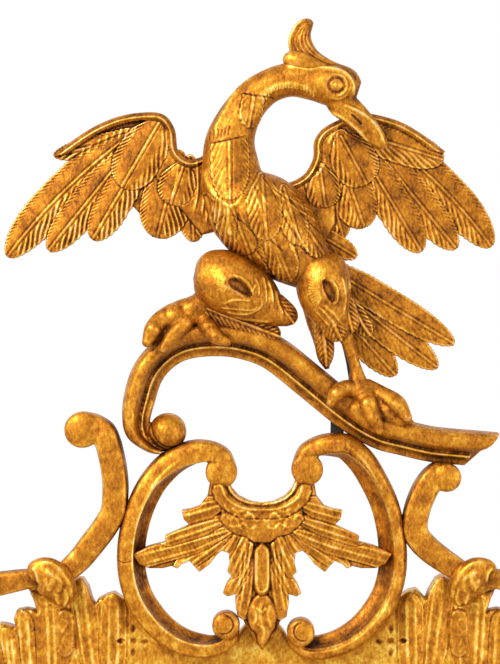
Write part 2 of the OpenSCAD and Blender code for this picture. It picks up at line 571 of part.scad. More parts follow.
module cartouche_leaf() color(GOLD) difference() {
    union() {
        board(leaf_d, leaf_d + 0.7 * leaf_t) leaf_outline();
        board(leaf_d, leaf_d + 1.1 * leaf_t) for (side = [-1, 1], t = leaf_lobe_tips)
            polygon(blade(crest([0, 100]), crest([side * t[0], t[1]]), 24 * cs));
        board(leaf_d, leaf_d + 1.5 * leaf_t) translate(oval_at)
            polygon([for (a = [0 : 15 : 345]) cs * [10 * cos(a), 23 * sin(a)]]);
        board(face_d, leaf_d + 0.7 * leaf_t) polygon(blade(crest([0, 70]), crest([0, 12]), 34 * cs));
    }
    for (side = [-1, 1]) on_side(side) {
        edge = side < 0 ? ring_left_edge : ring_right_edge;
        board(face_d - 1, face_d + 2 * band_t) {
            polygon(band(edge, 0.58 * band_w));
            translate(start_disc(edge, ring_top_r)) circle(ring_top_r);
            translate(end_disc(edge, ring_low_r)) circle(ring_low_r);
        }
        board(face_d - 1, leaf_d) polygon(band(edge, band_w));
    }
}

// ---------------------------------------------------------------- bird
// Stations are [x, z, half width] in the crest drawing; depths are set below
body_half_t = 0.52 * bird_t;
body_d = face_d + bird_t - body_half_t;
wing_d = face_d + 6;
beak_d = max(body_d + 2, wing_d + wing_t + 8); // the beak hangs in front of the right wing
function flatly(pts, d, share, limit) = [for (p = pts) [p[0], p[1], d, p[2], min(share * p[2] * cs, limit)]];
bird_line = flatly([[56.7, 341, 10.8], [41.4, 356.4, 23.4], [23.4, 374.4, 34.2], [5.4, 394.2, 40.5],
    [-13.5, 412.2, 38], [-25.2, 430.2, 29.5], [-28.4, 449.1, 25.5], [-28.4, 468.9, 22.3],
    [-21.6, 487.8, 18.9], [-10.8, 504, 16.7], [5.4, 517.5, 15.3], [25.2, 523.8, 15.3], [45, 522, 16.7],
    [63, 519.3, 19.4], [77.4, 517.5, 16.2], [86.4, 514.8, 7.2]], body_d, 0.85, body_half_t);
beak_line = flatly([[70, 506, 11.7], [80.5, 496, 10.8], [89.5, 487.5, 9.6], [98, 478.7, 7.6],
    [104.8, 471.8, 5], [110, 465.5, 1.6]], beak_d, 0.6, 8);
vent_line = flatly([[36, 338, 5], [41.4, 327.6, 7.2], [50.4, 309.6, 10.8], [54.9, 291.6, 9],
    [56.7, 275.4, 6.3], [58.5, 265.5, 1.8]], face_d + 13, 0.8, 8);
module bird_skin() crest_skin(bird_line, 16, 3);
module bird_body() color(GOLD) difference() {
    union() {
        bird_skin();
        crest_skin(beak_line, 12, 2);
    }
    translate([-150 * cs, -face_d, crest_z + 300 * cs]) cube([300 * cs, face_d, 300 * cs]);
    stay_screw_holes();
}
plume_line = flatly([[76, 533, 2.2], [66, 537, 3], [56, 541, 3.8], [46, 547.3, 5.8], [38.6, 557.4, 9.2],
    [35, 567.4, 10.3], [38, 576, 6.5], [43.3, 579.8, 2.2]], body_d, 0.7, 8);
curl_line = flatly([[58, 534, 5], [34.2, 547, 6], [24, 545, 5], [19, 542.6, 2.5]], body_d, 0.7, 8);
module bird_plume() color(GOLD) difference() {
    union() {
        crest_skin(plume_line, 12, 2);
        crest_skin(curl_line, 8, 2);
    }
    bird_skin();
}

// Feathers are [root, tip, width, bow] in the crest drawing
module feathers(list, d0, d1) board(d0, d1) for (f = list)
    polygon(blade(crest(f[0]), crest(f[1]), f[2] * cs, (len(f) > 3 ? f[3] : 0) * cs));
left_quills = [[[-82.8, 480.6], [-187.2, 457.2], 17], [[-124, 471], [-228.6, 366.3], 35, -5.5],
    [[-118.8, 462.6], [-191.7, 371.7], 30], [[-109.8, 453.6], [-152.1, 381.6], 31],
    [[-87.3, 462.6], [-95.4, 383.4], 40], [[-64.8, 453.6], [-61.2, 379.8], 27],
    [[-96, 476], [-160, 432], 34]];
left_coverts = [[[-91.8, 484], [-126, 428.4], 41], [[-69.3, 466], [-81, 414], 33]];
left_root = [[-72, 457], [-63.9, 454], [-55.8, 458], [-45, 462.6], [-33.3, 417.6], [-42.3, 389],
    [-55.8, 383.4], [-70, 394]];
left_arm = smooth([for (p = [[-55.8, 455], [-66.6, 453.6], [-75.6, 462.6], [-78.3, 480.6],
    [-87.3, 493.2], [-102.6, 495.9], [-127.8, 492.3], [-154.8, 480.6], [-187.2, 458.1]])
    concat(crest(p), [1])], 3);
right_quills = [[[74.7, 485.1], [165.6, 459.9], 18], [[108, 474], [206.1, 375.3], 36, 5.5],
    [[101.7, 462.6], [174.6, 373.5], 31], [[88.2, 462.6], [143.1, 370.8], 33],
    [[70.2, 462.6], [90.9, 392.4], 38], [[56.7, 444.6], [72.9, 383.4], 23],
    [[84, 480], [146, 438], 40]];
right_coverts = [[[74.7, 484], [99, 432.9], 41], [[52.2, 456], [63, 413.1], 32]];
right_root = [[0, 442.8], [12.6, 435.2], [25.2, 432.9], [38.7, 436.5], [48, 448], [61.2, 449],
    [74.7, 391], [56.7, 380], [34.2, 381.6], [16.2, 399.6]];
right_arm = smooth([for (p = [[164.7, 460.5], [142.2, 477.2], [124.2, 487.2], [106.2, 492.8],
    [93.6, 494.6], [78, 492.5], [67.5, 488.5], [54, 480.6], [46.8, 469.8], [46, 456], [40, 442.8],
    [30, 434]]) concat(crest(p), [1])], 3);
module wing(quills, coverts, root, arm) color(GOLD) difference() {
    union() {
        feathers(quills, wing_d, wing_d + 0.5 * wing_t);
        feathers(coverts, wing_d, wing_d + 0.78 * wing_t);
        board(wing_d, wing_d + 0.64 * wing_t) polygon([for (p = root) crest(p)]);
        board(wing_d, wing_d + wing_t) polygon(band(arm, 12 * cs));
    }
    bird_skin();
}
module left_wing() wing(left_quills, left_coverts, left_root, left_arm);
module right_wing() wing(right_quills, right_coverts, right_root, right_arm);
tail_quills = [[[44, 366], [173, 288], 28], [[42, 358], [158, 266.5], 31],
    [[40, 350], [120.5, 259.5], 31]];
module bird_tail() color(GOLD) difference() {
    union() {
        feathers(tail_quills, face_d + 4, face_d + 0.7 * wing_t);
        feathers([[[34.2, 386], [88, 362], 26]], face_d + 4, face_d + 4 + 0.78 * wing_t);
        crest_skin(vent_line, 10, 2);
    }
    bird_skin();
    stay_screw_holes();
    board(wing_d, wing_d + wing_t) polygon([for (p = right_root) crest(p)]);
}

// Legs stand in front of the tail, and their toes close over the front of the perch
leg_d = body_d + 6;
drawn_perch_w = 32;
foot_d = face_d + 0.62 * perch_t;
toe_d = face_d + perch_t + 4;
// The feet rise with the top of the perch, which keeps its own width when the crest is scaled
foot_rise = perch_w / cs - drawn_perch_w;
function risen(pts) = [for (p = pts) [p[0], p[1] + foot_rise, p[2], p[3], p[4]]];
left_thigh = [[-60, 352.8, leg_d, 7, 6], [-56, 351.9, leg_d, 17, 15], [-46.8, 349.2, leg_d + 1, 24.3, 20],
    [-32.4, 343.8, leg_d + 3, 28, 24], [-16.2, 335.7, leg_d + 3, 27, 24], [-1.8, 325.8, leg_d, 21.6, 20],
    [11.7, 315, leg_d, 12.6, 13], [25.2, 306.9, leg_d, 3.6, 4]];
left_foot = [
    [[-40, 340, leg_d, 13, 13], [-52, 326, leg_d - 4, 11, 11], [-62, 319, foot_d + 4, 12, 12],
        [-74, 317, foot_d + 2, 10, 11], [-80, 312, foot_d, 6, 7]],
    [[-72, 318, foot_d, 9, 8], [-88, 311, toe_d - 8, 8.5, 7], [-97, 301, toe_d - 2, 8, 6],
        [-102, 290, toe_d, 5, 4]],
    [[-60, 318, foot_d, 8, 7], [-69, 307, toe_d - 5, 7.5, 7], [-81, 294, toe_d - 1, 6.5, 6],
        [-88, 284, toe_d, 4, 4]],
    [[-54, 316, foot_d + 4, 8, 7], [-48, 303, toe_d - 4, 8, 7], [-41, 295, toe_d - 1, 7, 6],
        [-31, 290, toe_d, 4, 4]]];
right_thigh = [[54, 368.5, leg_d, 10, 8], [54, 361.8, leg_d, 19.8, 16], [54, 345.6, leg_d, 24.3, 20],
    [56.7, 329.4, leg_d, 23.4, 19], [63.9, 314.1, leg_d - 2, 18, 14], [71.1, 302.4, leg_d - 4, 10.8, 9],
    [75.6, 291.6, leg_d - 5, 6.3, 6], [79.2, 280.8, leg_d - 7, 5.4, 5.5],
    [83.7, 266.4, foot_d + 5, 5.4, 5.5]];
right_ankle = [[85.5, 254, foot_d + 3, 9, 9], [87, 245, foot_d + 3, 13, 11], [87, 237, foot_d + 2, 7, 7]];
right_foot = [
    [[84, 247, foot_d + 2, 9, 8], [74, 248, toe_d - 8, 8, 7.5], [66, 244, toe_d - 1, 7.5, 6.5],
        [61.5, 236, toe_d, 4.5, 4]],
    [[89, 245, foot_d + 4, 10, 9], [94, 235, toe_d - 4, 8.5, 7.5], [99, 223, toe_d - 1, 7.5, 6.5],
        [104.5, 211.5, toe_d, 4.5, 4]],
    [[92, 248, foot_d, 10, 9], [105, 243, foot_d + 2, 8.5, 8], [119.7, 234, toe_d - 7, 9, 8],
        [129, 223, toe_d - 2, 4.5, 4]]];
module leg(thigh, toes) color(GOLD) difference() {
    union() {
        crest_skin(thigh, 12, 2);
        for (t = toes) crest_skin(risen(t), 8, 2);
    }
    bird_skin();
    board(face_d - 1, face_d + perch_t) perch_outline();
}
module left_leg() leg(left_thigh, left_foot);
module right_leg() leg(concat(right_thigh, risen(right_ankle)), right_foot);

// ---------------------------------------------------------------- iron stay and straps
stay_w = 10;
stay_t = 4;
stay_line = [for (p = [[84, 212], [85, 238], [81, 272], [72, 304], [56, 342], [40, 372]])
    concat(crest(p), [1])];
stay_screw_points = [crest([84.2, 217]), crest([84.8, 230]), crest([52, 350]), crest([43, 366])];
module stay_screw_holes() for (p = stay_screw_points) screw_hole(p, face_d - stay_t, stay_t + 12, 1.6);
module bird_stay() color(IRON) difference() {
    board(face_d - stay_t, face_d) polygon(concat(beside(smooth(stay_line, 3), -stay_w / 2),
        reversed(beside(smooth(stay_line, 3), stay_w / 2))));
    stay_screw_holes();
}
module stay_screws() color(IRON) for (p = stay_screw_points) screw(p, face_d - stay_t, stay_t + 12, 1.6);
// Iron straps screwed behind the joint of each ring with the perch, square to the ring's edge
joint_iron_w = 12;
joint_iron_t = 3;
joint_screw_l = joint_iron_t + 11;
joint_end = 6; // length of strap beyond each screw
// Screws of the strap that crosses point i of a ring's edge
function joint_screw_points(edge, i) = let (inward = left_of(edge, i), p = xy(edge[i]))
    [p + 0.4 * band_w * inward, p - 15 * inward];
module each_joint() for (side = [-1, 1]) on_side(side) {
    $joint_points = side < 0 ? joint_screw_points(ring_left_edge, 13)
                             : joint_screw_points(ring_right_edge, 10);
    children();
}
module joint_screw_holes() each_joint() for (p = $joint_points)
    screw_hole(p, face_d - joint_iron_t, joint_screw_l, 1.6);
module joint_irons() color(IRON) difference() {
    each_joint() {
        ends = $joint_points;
        along = unit(ends[1] - ends[0]);
        across = [-along[1], along[0]] * joint_iron_w / 2;
        from = ends[0] - joint_end * along;
        to = ends[1] + joint_end * along;
        board(face_d - joint_iron_t, face_d)
            polygon([from + across, to + across, to - across, from - across]);
    }
    joint_screw_holes();
}
module joint_screws() color(IRON) each_joint() for (p = $joint_points)
    screw(p, face_d - joint_iron_t, joint_screw_l, 1.6);

// ---------------------------------------------------------------- hangings and fixings
hanger_x = half_w - rail_w / 2;
hanger_z = frame_h - rail_w - 55;
ring_d = wall_gap / 2;
eye_r = ring_wire / 2 + ring_play;
eye_out_r = ring_d - 0.4;
eye_l = strap_w - 6;
hanger_screw_points = [[hanger_x, hanger_z - 2 * ring_in_r - 18], [hanger_x, hanger_z - 2 * ring_in_r - 36]];
hanger_screw_l = strap_t + 14;
strap_foot = hanger_screw_points[1][1] - 9;
module hanger_screw_holes() for (p = hanger_screw_points)
    screw_hole([-p[0], p[1]], back_d - strap_t, hanger_screw_l, 1.7);
module hanger_strap(side) color(BRASS) on_side(side) difference() {
    union() {
        board(back_d - strap_t, back_d) translate([-hanger_x - strap_w / 2, strap_foot])
            square([strap_w, hanger_z - strap_foot]);
        translate([-hanger_x - eye_l / 2, -ring_d, hanger_z]) rotate([0, 90, 0])
            cylinder(r = eye_out_r, h = eye_l);
    }
    translate([-hanger_x - strap_w, -ring_d, hanger_z]) rotate([0, 90, 0])
        cylinder(r = eye_r, h = 2 * strap_w);
    hanger_screw_holes();
}
module hanger_strap_left() hanger_strap(-1);
module hanger_strap_right() hanger_strap(1);
// A D-shaped ring: the bar in the eye, two legs and a half circle below
ring_mid_r = ring_in_r + ring_wire / 2;
ring_leg = 8; // straight part between the bar and the half circle
module hanger_ring(side) color(BRASS) on_side(side) translate([-hanger_x, -ring_d, hanger_z]) {
    translate([-ring_mid_r, 0, 0]) rotate([0, 90, 0]) cylinder(r = ring_wire / 2, h = 2 * ring_mid_r);
    for (end = [-1, 1]) translate([end * ring_mid_r, 0, -ring_leg]) cylinder(r = ring_wire / 2, h = ring_leg);
    for (end = [-1, 1]) translate([end * ring_mid_r, 0, 0]) sphere(ring_wire / 2);
    translate([0, 0, -ring_leg]) rotate([-90, 0, 0]) rotate_extrude(angle = 180)
        translate([ring_mid_r, 0]) circle(ring_wire / 2);
}
module hanger_ring_left() hanger_ring(-1);
module hanger_ring_right() hanger_ring(1);
module hanger_screws() color(BRASS) for (side = [-1, 1]) on_side(side) for (p = hanger_screw_points)
    screw([-p[0], p[1]], back_d - strap_t, hanger_screw_l, 1.7);

// Brass plates screwed to the back of the stiles, cranked to lie on the wall beside the frame
lug_out = 30;
plate_in = 36;
plate_high = 28;
wall_plate_screw_points = [[-half_w + 12, plate_z], [-half_w + 27, plate_z]];
wall_plate_screw_l = lug_t + 13;
wall_hole_x = half_w + lug_out - 12;
module wall_plate_screw_holes() for (p = wall_plate_screw_points)
    screw_hole(p, back_d - lug_t, wall_plate_screw_l, 1.7);
module wall_plate(side) color(BRASS) on_side(side) difference() {
    translate([0, 0, plate_z - plate_high / 2]) linear_extrude(plate_high) polygon([
        [-half_w + plate_in, -back_d], [-half_w - 2, -back_d], [-half_w - 8, -lug_t],
        [-half_w - lug_out, -lug_t], [-half_w - lug_out, 0], [-half_w - 9, 0], [-half_w - 3, -back_d + lug_t],
        [-half_w + plate_in, -back_d + lug_t]]);
    peg([-wall_hole_x, plate_z], -1, back_d, wall_hole_r);
    wall_plate_screw_holes();
}
module wall_plate_left() wall_plate(-1);
module wall_plate_right() wall_plate(1);
module wall_plate_screws() color(BRASS) for (side = [-1, 1]) on_side(side)
    for (p = wall_plate_screw_points) screw(p, back_d - lug_t, wall_plate_screw_l, 1.7);
pad = 30;
module wall_pads() color("dimgray") for (side = [-1, 1], z = [12, frame_h - 12 - pad])
    board(0, back_d) translate([side * (half_w - rail_w - 30) - pad / 2, z]) square(pad);

// ---------------------------------------------------------------- the choice of node
top_rail();
bottom_rail();
left_stile();
right_stile();
mirror_plate();
glass_blocks();
backboards();
backboard_screws();
sight_moulding_top();
sight_moulding_bottom();
sight_moulding_left();
sight_moulding_right();
shoulder_scroll_left();
shoulder_scroll_right();
side_scroll_upper_left();
side_scroll_upper_right();
side_scroll_lower_left();
side_scroll_lower_right();
side_leaf_left();
side_leaf_right();
upper_corner_leaf_left();
upper_corner_leaf_right();
lower_corner_leaf_left();
lower_corner_leaf_right();
bottom_scroll_left();
bottom_scroll_right();
bottom_shell();
crest_panel();
crest_battens();
batten_screws();
crest_scroll_left();
crest_scroll_right();
outer_scroll_left();
outer_scroll_right();
clasp_leaf_left();
clasp_leaf_right();
cartouche_leaf();
perch_scroll();
bird_body();
bird_plume();
left_wing();
right_wing();
bird_tail();
left_leg();
right_leg();
joint_irons();
joint_screws();
bird_stay();
stay_screws();
wall_pads();
hanger_strap_left();
hanger_strap_right();
hanger_ring_left();
hanger_ring_right();
hanger_screws();
wall_plate_left();
wall_plate_right();
wall_plate_screws();
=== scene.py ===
# %% [markdown]
# # A giltwood overmantel mirror, carved in Blender
# The imported CAD model gives every piece its place, in metres. This lesson carves the gilded pieces in front
# of it: scrolls, feathers, leaves and the bird. The frame is loaded first.

# %% Load the imported frame
import math
import bmesh
import bpy
import numpy as np
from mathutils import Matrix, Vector
from mathutils.kdtree import KDTree


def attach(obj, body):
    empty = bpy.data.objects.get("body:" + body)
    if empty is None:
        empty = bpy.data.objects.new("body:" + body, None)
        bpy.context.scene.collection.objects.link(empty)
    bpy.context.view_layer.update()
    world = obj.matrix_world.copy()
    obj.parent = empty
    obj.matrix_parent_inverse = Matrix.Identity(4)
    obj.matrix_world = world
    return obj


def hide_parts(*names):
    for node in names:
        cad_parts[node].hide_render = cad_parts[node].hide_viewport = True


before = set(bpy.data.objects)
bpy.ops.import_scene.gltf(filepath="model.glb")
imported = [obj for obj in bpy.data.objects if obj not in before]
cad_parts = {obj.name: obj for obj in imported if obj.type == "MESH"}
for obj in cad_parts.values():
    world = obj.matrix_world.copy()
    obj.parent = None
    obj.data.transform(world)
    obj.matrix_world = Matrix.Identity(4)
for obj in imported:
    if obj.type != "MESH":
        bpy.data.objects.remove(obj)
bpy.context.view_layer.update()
print("frame loaded with", len(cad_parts), "nodes")

# %% [markdown]
# The whole mirror was drawn on a front view in millimetres: x to the right, z up, and the depth d outwards
# from the wall. The crest has a datum line of its own above the top rail, and its drawings count z from
# there. Small details were measured on a straight photographic view, in steps of 0.9 mm from its top left
# corner. That view has perspective, so a point also needs its depth before it can be put in the right place.

# %% Drawing coordinates
CREST_Z = 811.0  # height of the crest's datum line
FACE_D = 34.0    # depth of the carcass face, on which all carving stands
BACK_D = 8.0     # depth of the carcass back
VIEW_X, VIEW_Z = -10.8, 1109.8  # the middle of the view
VIEW_MIDDLE = (250, 332)        # the same place in steps of the view
VIEW_AXIS = 262                 # the middle line of the crest, in steps
VIEW_STEP = 0.9                 # mm in a step, at depth VIEW_D
VIEW_D = 42.0
VIEW_FAR = 2400.0               # distance from the eye to that depth
COARSE = 1


def metres(x, z, d):
    return Vector((x / 1000, -d / 1000, z / 1000))


def on_crest(points):
    return [(p[0], p[1] + CREST_Z, *p[2:]) for p in points]


def seen(points, d):
    """Points of the photographic view, brought to depth d."""
    step = VIEW_STEP * (VIEW_FAR - (d - VIEW_D)) / VIEW_FAR
    x, z = VIEW_MIDDLE
    return [(VIEW_X + (p[0] - x) * step, VIEW_Z - (p[1] - z) * step) for p in points]


def turned(side, points):
    """Positions on the view, turned to the right half of the crest for side 1."""
    return [(x if side < 0 else 2 * VIEW_AXIS - x, z) for x, z in points]


def both_sides(lines):
    """Lines of the left half of the view, and the same on the right half."""
    return [turned(side, line) for side in (-1, 1) for line in lines]


# %% [markdown]
# Every carved line is a smooth curve through a few drawn points. The same curve formula serves for edges of
# scrolls, outlines of leaves and the thickness of a neck, because it blends whatever numbers each point
# holds.

# %% Curves
def smooth(points, n):
    """A smooth curve through the points, with n steps between each two."""
    p = np.array(points, float)
    last = len(p) - 1
    out = []
    for i in range(last):
        a, b, c, d = p[max(i - 1, 0)], p[i], p[i + 1], p[min(i + 2, last)]
        for j in range(n):
            t = j / n
            out.append(0.5 * (2 * b + (c - a) * t + (2 * a - 5 * b + 4 * c - d) * t ** 2
                              + (3 * b - a - 3 * c + d) * t ** 3))
    out.append(p[last])
    return np.array(out)


def normals_of(curve):
    """Unit vectors to the left of a curve on the front view."""
    step = np.gradient(curve[:, :2], axis=0)
    step /= np.linalg.norm(step, axis=1)[:, None]
    return np.stack([-step[:, 1], step[:, 0]], axis=1)


def bowed(root, tip, bow, n):
    """The middle line of a feather or leaf, bowed to its left."""
    root, tip = np.array(root, float), np.array(tip, float)
    along = (tip - root) / np.linalg.norm(tip - root)
    middle = (root + tip) / 2 + 2 * bow * np.array([-along[1], along[0]])
    t = np.linspace(0, 1, n + 1)[:, None]
    return (1 - t) ** 2 * root + 2 * t * (1 - t) * middle + t ** 2 * tip


def leaf_share(t, full=0.68):
    """Half width of a leaf along its length: it swells from the root and rounds off after its full width."""
    round_tip = np.sqrt(np.clip(1 - (np.clip(t - full, 0, 1) / (1 - full)) ** 2, 0, 1))
    return np.sqrt(np.minimum(1, 0.12 + t / 0.4)) * round_tip


def nearest_on(line, points):
    """For each point: its distance from the line, where along it (0 to 1), the side, and the nearest spot."""
    start, step = line[:-1], line[1:] - line[:-1]
    length = np.maximum(np.linalg.norm(step, axis=1), 1e-9)
    before = np.concatenate([[0], np.cumsum(length)])
    best = np.full(len(points), 1e9)
    place, side, spot = np.zeros(len(points)), np.zeros(len(points)), np.zeros((len(points), 2))
    for i in range(len(start)):
        t = np.clip((points - start[i]) @ step[i] / length[i] ** 2, 0, 1)
        foot = start[i] + t[:, None] * step[i]
        gap = points - foot
        away = np.hypot(gap[:, 0], gap[:, 1])
        near = away < best
        best[near], spot[near] = away[near], foot[near]
        place[near] = (before[i] + t[near] * length[i]) / before[-1]
        side[near] = np.sign(step[i, 0] * gap[near, 1] - step[i, 1] * gap[near, 0])
    return best, place, side, spot


def inside(outline, points):
    """Which points lie inside a closed outline."""
    found = np.zeros(len(points), bool)
    x, z = points[:, 0], points[:, 1]
    for (x0, z0), (x1, z1) in zip(outline, np.roll(outline, -1, axis=0)):
        crosses = (z0 > z) != (z1 > z)
        found ^= crosses & (x < (x1 - x0) * (z - z0) / (z1 - z0 + 1e-12) + x0)
    return found


# %% [markdown]
# ## Colour
# Colours are picked as sRGB hex values, as in a paint program, and one function turns them to Blender's
# linear values. One more small function adds a node with its settings and links, so that a material reads
# like a recipe.

# %% Colour and node helpers
def linear(hex_colour):
    parts = [int(hex_colour[i:i + 2], 16) / 255 for i in (1, 3, 5)]
    return tuple(c / 12.92 if c <= 0.04045 else ((c + 0.055) / 1.055) ** 2.4 for c in parts) + (1.0,)


def add(tree, kind, settings=None, stops=None, **links):
    """Adds a node: settings go to its properties or sockets, stops to its colour ramp, and links name the
    socket that feeds each input, by its name or as i0, i1 and so on."""
    node = tree.nodes.new(kind)
    for key, value in (settings or {}).items():
        if isinstance(key, int) or key in node.inputs:
            node.inputs[key].default_value = value
        else:
            setattr(node, key, value)
    for number, (place, hex_colour) in enumerate(stops or []):
        stop = node.color_ramp.elements[number] if number < 2 else node.color_ramp.elements.new(place)
        stop.position, stop.color = place, linear(hex_colour)
    for key, source in links.items():
        target = node.inputs[int(key[1:])] if key[0] == "i" and key[1:].isdigit() else node.inputs[key]
        tree.links.new(source, target)
    return node


# %% [markdown]
# ## Water gilding
# Gold leaf lies on red-brown bole over white gesso. It is burnished to a shine on the high parts and stays
# dull in the hollows; its colour is also painted lighter on the high parts and brown in the hollows, as
# painted highlight and painted shade. Handling wears the sharpest ridges to a pinkish gold. The carving
# functions store a relief number on each vertex, from -1 in a cut to +1 on a ridge, and the colours follow
# it as painted shade and painted highlight. An Ambient Occlusion node paints shade into the deep corners
# between pieces, and two noises make the patchy, speckled tone of old leaf. A painted picture of the gold
# would need unwrapping, and procedural nodes follow any carving. The backs were never gilded: they are
# wood with a thin ochre wash. The eye sees a warm dark gold with painted highlights on the ridges and
# painted shade in the hollows.

# %% Gilding material
PATCHES = 70.0  # waves in a metre: a patch of tone in 14 mm
SPECKS = 380.0  # one in 2.6 mm, coarser than the grain of real leaf, so that it shows


def gilding(name, edge_shading, rubbing):
    """Burnished gold leaf: painted shade of dark brown where it lies deep, orange brown on the flats, lighter
    on raised edges as a painted highlight and darker in creases as painted shade, both by the edge argument,
    and pinkish by the share rubbing where an edge is rubbed through to the ground. Sockets 1 to 4 of a Map
    Range node are the range it takes and the range it gives."""
    material = bpy.data.materials.new(name)
    material.use_nodes = True
    tree = material.node_tree
    shader = tree.nodes["Principled BSDF"]
    place = add(tree, "ShaderNodeTexCoord").outputs
    relief_shading = add(tree, "ShaderNodeAttribute", {"attribute_name": "relief_shading"}).outputs["Fac"]
    patches = add(tree, "ShaderNodeTexNoise", {"Scale": PATCHES, "Detail": 4.0, "Roughness": 0.6},
                  Vector=place["Object"]).outputs["Fac"]
    slanted = add(tree, "ShaderNodeMapping", {"Rotation": (0, 0.5, 0), "Scale": (1, 1, 0.6)},
                  Vector=place["Object"])
    specks = add(tree, "ShaderNodeTexNoise", {"Scale": SPECKS, "Detail": 4.0, "Roughness": 0.7},
                 Vector=slanted.outputs[0]).outputs["Fac"]
    # Ambient Occlusion paints shade into deep corners and between pieces
    hollow = add(tree, "ShaderNodeAmbientOcclusion", {"samples": 8, "Distance": 0.018}).outputs["AO"]
    # Pointiness: sharp raised edges get a painted highlight and creases painted shade; rubbing shows there too
    edge = add(tree, "ShaderNodeNewGeometry").outputs["Pointiness"]
    # The tone starts at painted shade in the hollows, and each of the others swings it up and down: the
    # relief number and the edges as painted highlight and shade, the two noises as the patchy leaf
    tone = add(tree, "ShaderNodeMapRange", {1: 0.25, 2: 0.95, 3: 0.16, 4: 0.48}, Value=hollow)
    for source, low, high, swing in ((relief_shading, -1.0, 1.0, 0.27), (edge, 0.42, 0.58, edge_shading),
                                     (patches, 0.3, 0.7, 0.18), (specks, 0.3, 0.7, 0.20)):
        part = add(tree, "ShaderNodeMapRange", {1: low, 2: high, 3: -swing, 4: swing}, Value=source)
        tone = add(tree, "ShaderNodeMath", {"operation": "ADD"}, i0=tone.outputs[0], i1=part.outputs[0])
    gold = add(tree, "ShaderNodeValToRGB", None, [
        (0.0, "#331904"), (0.20, "#6B3C09"), (0.38, "#A0600E"), (0.54, "#C17A16"), (0.70, "#DA9D2A"),
        (0.86, "#F6C850"), (1.0, "#FFECA8")], Fac=tone.outputs[0])
    edges = add(tree, "ShaderNodeMapRange", {1: 0.51, 2: 0.56, 3: 0.0, 4: rubbing}, Value=edge)
    places = add(tree, "ShaderNodeMapRange", {1: 0.48, 2: 0.6, 3: 0.0, 4: 1.0}, Value=patches)
    rubbed = add(tree, "ShaderNodeMath", {"operation": "MULTIPLY"}, i0=edges.outputs[0], i1=places.outputs[0])
    worn = add(tree, "ShaderNodeMix", {"data_type": "RGBA", 7: linear("#DDA27C")}, i0=rubbed.outputs[0],
               i6=gold.outputs["Color"])
    facing = add(tree, "ShaderNodeSeparateXYZ", Vector=place["Normal"]).outputs["Y"]
    behind = add(tree, "ShaderNodeMapRange", {1: 0.55, 2: 0.75, 3: 0.0, 4: 1.0}, Value=facing).outputs[0]
    wash = add(tree, "ShaderNodeValToRGB", None, [(0.3, "#86602F"), (0.5, "#A27C45"), (0.7, "#B8935A")],
               Fac=patches)
    colour = add(tree, "ShaderNodeMix", {"data_type": "RGBA"}, i0=behind, i6=worn.outputs[2],
                 i7=wash.outputs["Color"])
    polish = add(tree, "ShaderNodeMapRange", {1: 0.1, 2: 0.9, 3: 0.55, 4: 0.30}, Value=tone.outputs[0])
    matt = add(tree, "ShaderNodeMapRange", {1: 0.0, 2: 1.0, 3: 0.0, 4: 0.7}, Value=behind)
    rough = add(tree, "ShaderNodeMath", {"operation": "MAXIMUM"}, i0=polish.outputs[0], i1=matt.outputs[0])
    metal = add(tree, "ShaderNodeMapRange", {1: 0.0, 2: 1.0, 3: 0.7, 4: 0.0}, Value=behind)
    grain = add(tree, "ShaderNodeBump", {"Strength": 0.6, "Distance": 0.0006}, Height=specks)
    for socket, source in (("Base Color", colour.outputs[2]), ("Roughness", rough.outputs[0]),
                           ("Metallic", metal.outputs[0]), ("Normal", grain.outputs[0])):
        tree.links.new(source, shader.inputs[socket])
    return material


GILDING = gilding("water_gilding_on_carving", 0.22, 0.7)
MOULDING_GILDING = gilding("water_gilding_on_mouldings", 0.05, 0.1)
print("made", GILDING.name, "and", MOULDING_GILDING.name)

# %% [markdown]
# ## How a carving is built
# Each carving starts as nets: `bmesh.ops.create_grid` makes rows and columns of squares, and a small
# function puts every corner where the drawing says. A round form is a net that closes on itself, a board is
# a net cut to its outline. Forms that grow into each other, such as a band and its knob, are fused by a
# voxel remesh, and smoothed. Last comes the chisel: it raises ridges and sinks cuts along drawn lines, as a
# carver does on the roughed-out wood.

# %% Nets
class Carving:
    """A gilded piece under the chisel, with a relief number on each vertex for the gilding to follow: painted
    highlight where it is high and painted shade where it is low.
    """

    def __init__(self, name):
        self.name = name
        self.bm = bmesh.new()
        self.relief_shading = self.bm.verts.layers.float.new("relief_shading")

    def net(self, rows, cols, place):
        """place takes arrays of row and column numbers, and returns x, z and depth in mm, and the relief
        number of painted highlight and shade.
        """
        made = bmesh.ops.create_grid(self.bm, x_segments=rows, y_segments=cols, size=0.5)["verts"]
        flat = np.array([v.co[:2] for v in made]) + 0.5
        row = np.rint(flat[:, 0] * rows).astype(int)
        col = np.rint(flat[:, 1] * cols).astype(int)
        x, z, d, relief_shading = np.broadcast_arrays(*place(row, col))
        for v, xi, zi, di, ri in zip(made, x, z, d, relief_shading):
            v.co = metres(xi, zi, di)
            v[self.relief_shading] = ri


# %% [markdown]
# Knobs, toes and the eye are balls from `create_uvsphere`. The neck, thighs and toes are skins: a net
# wrapped round a line of stations, as a carver thinks of a limb, by its thickness from place to place. Both
# are flat where they reach the carcass face, because a carving is cut from a board and has a flat back.

# %% Round forms
def ball(carving, x, z, d, r, relief_shading=0.1):
    """A ball of radius r, flattened where it meets the carcass face."""
    made = bmesh.ops.create_uvsphere(carving.bm, u_segments=40, v_segments=24, radius=r / 1000)["verts"]
    for v in made:
        v.co = metres(x, z, d) + Vector((v.co.x, v.co.z, v.co.y))
        v.co.y = min(v.co.y, -FACE_D / 1000)
        v[carving.relief_shading] = relief_shading


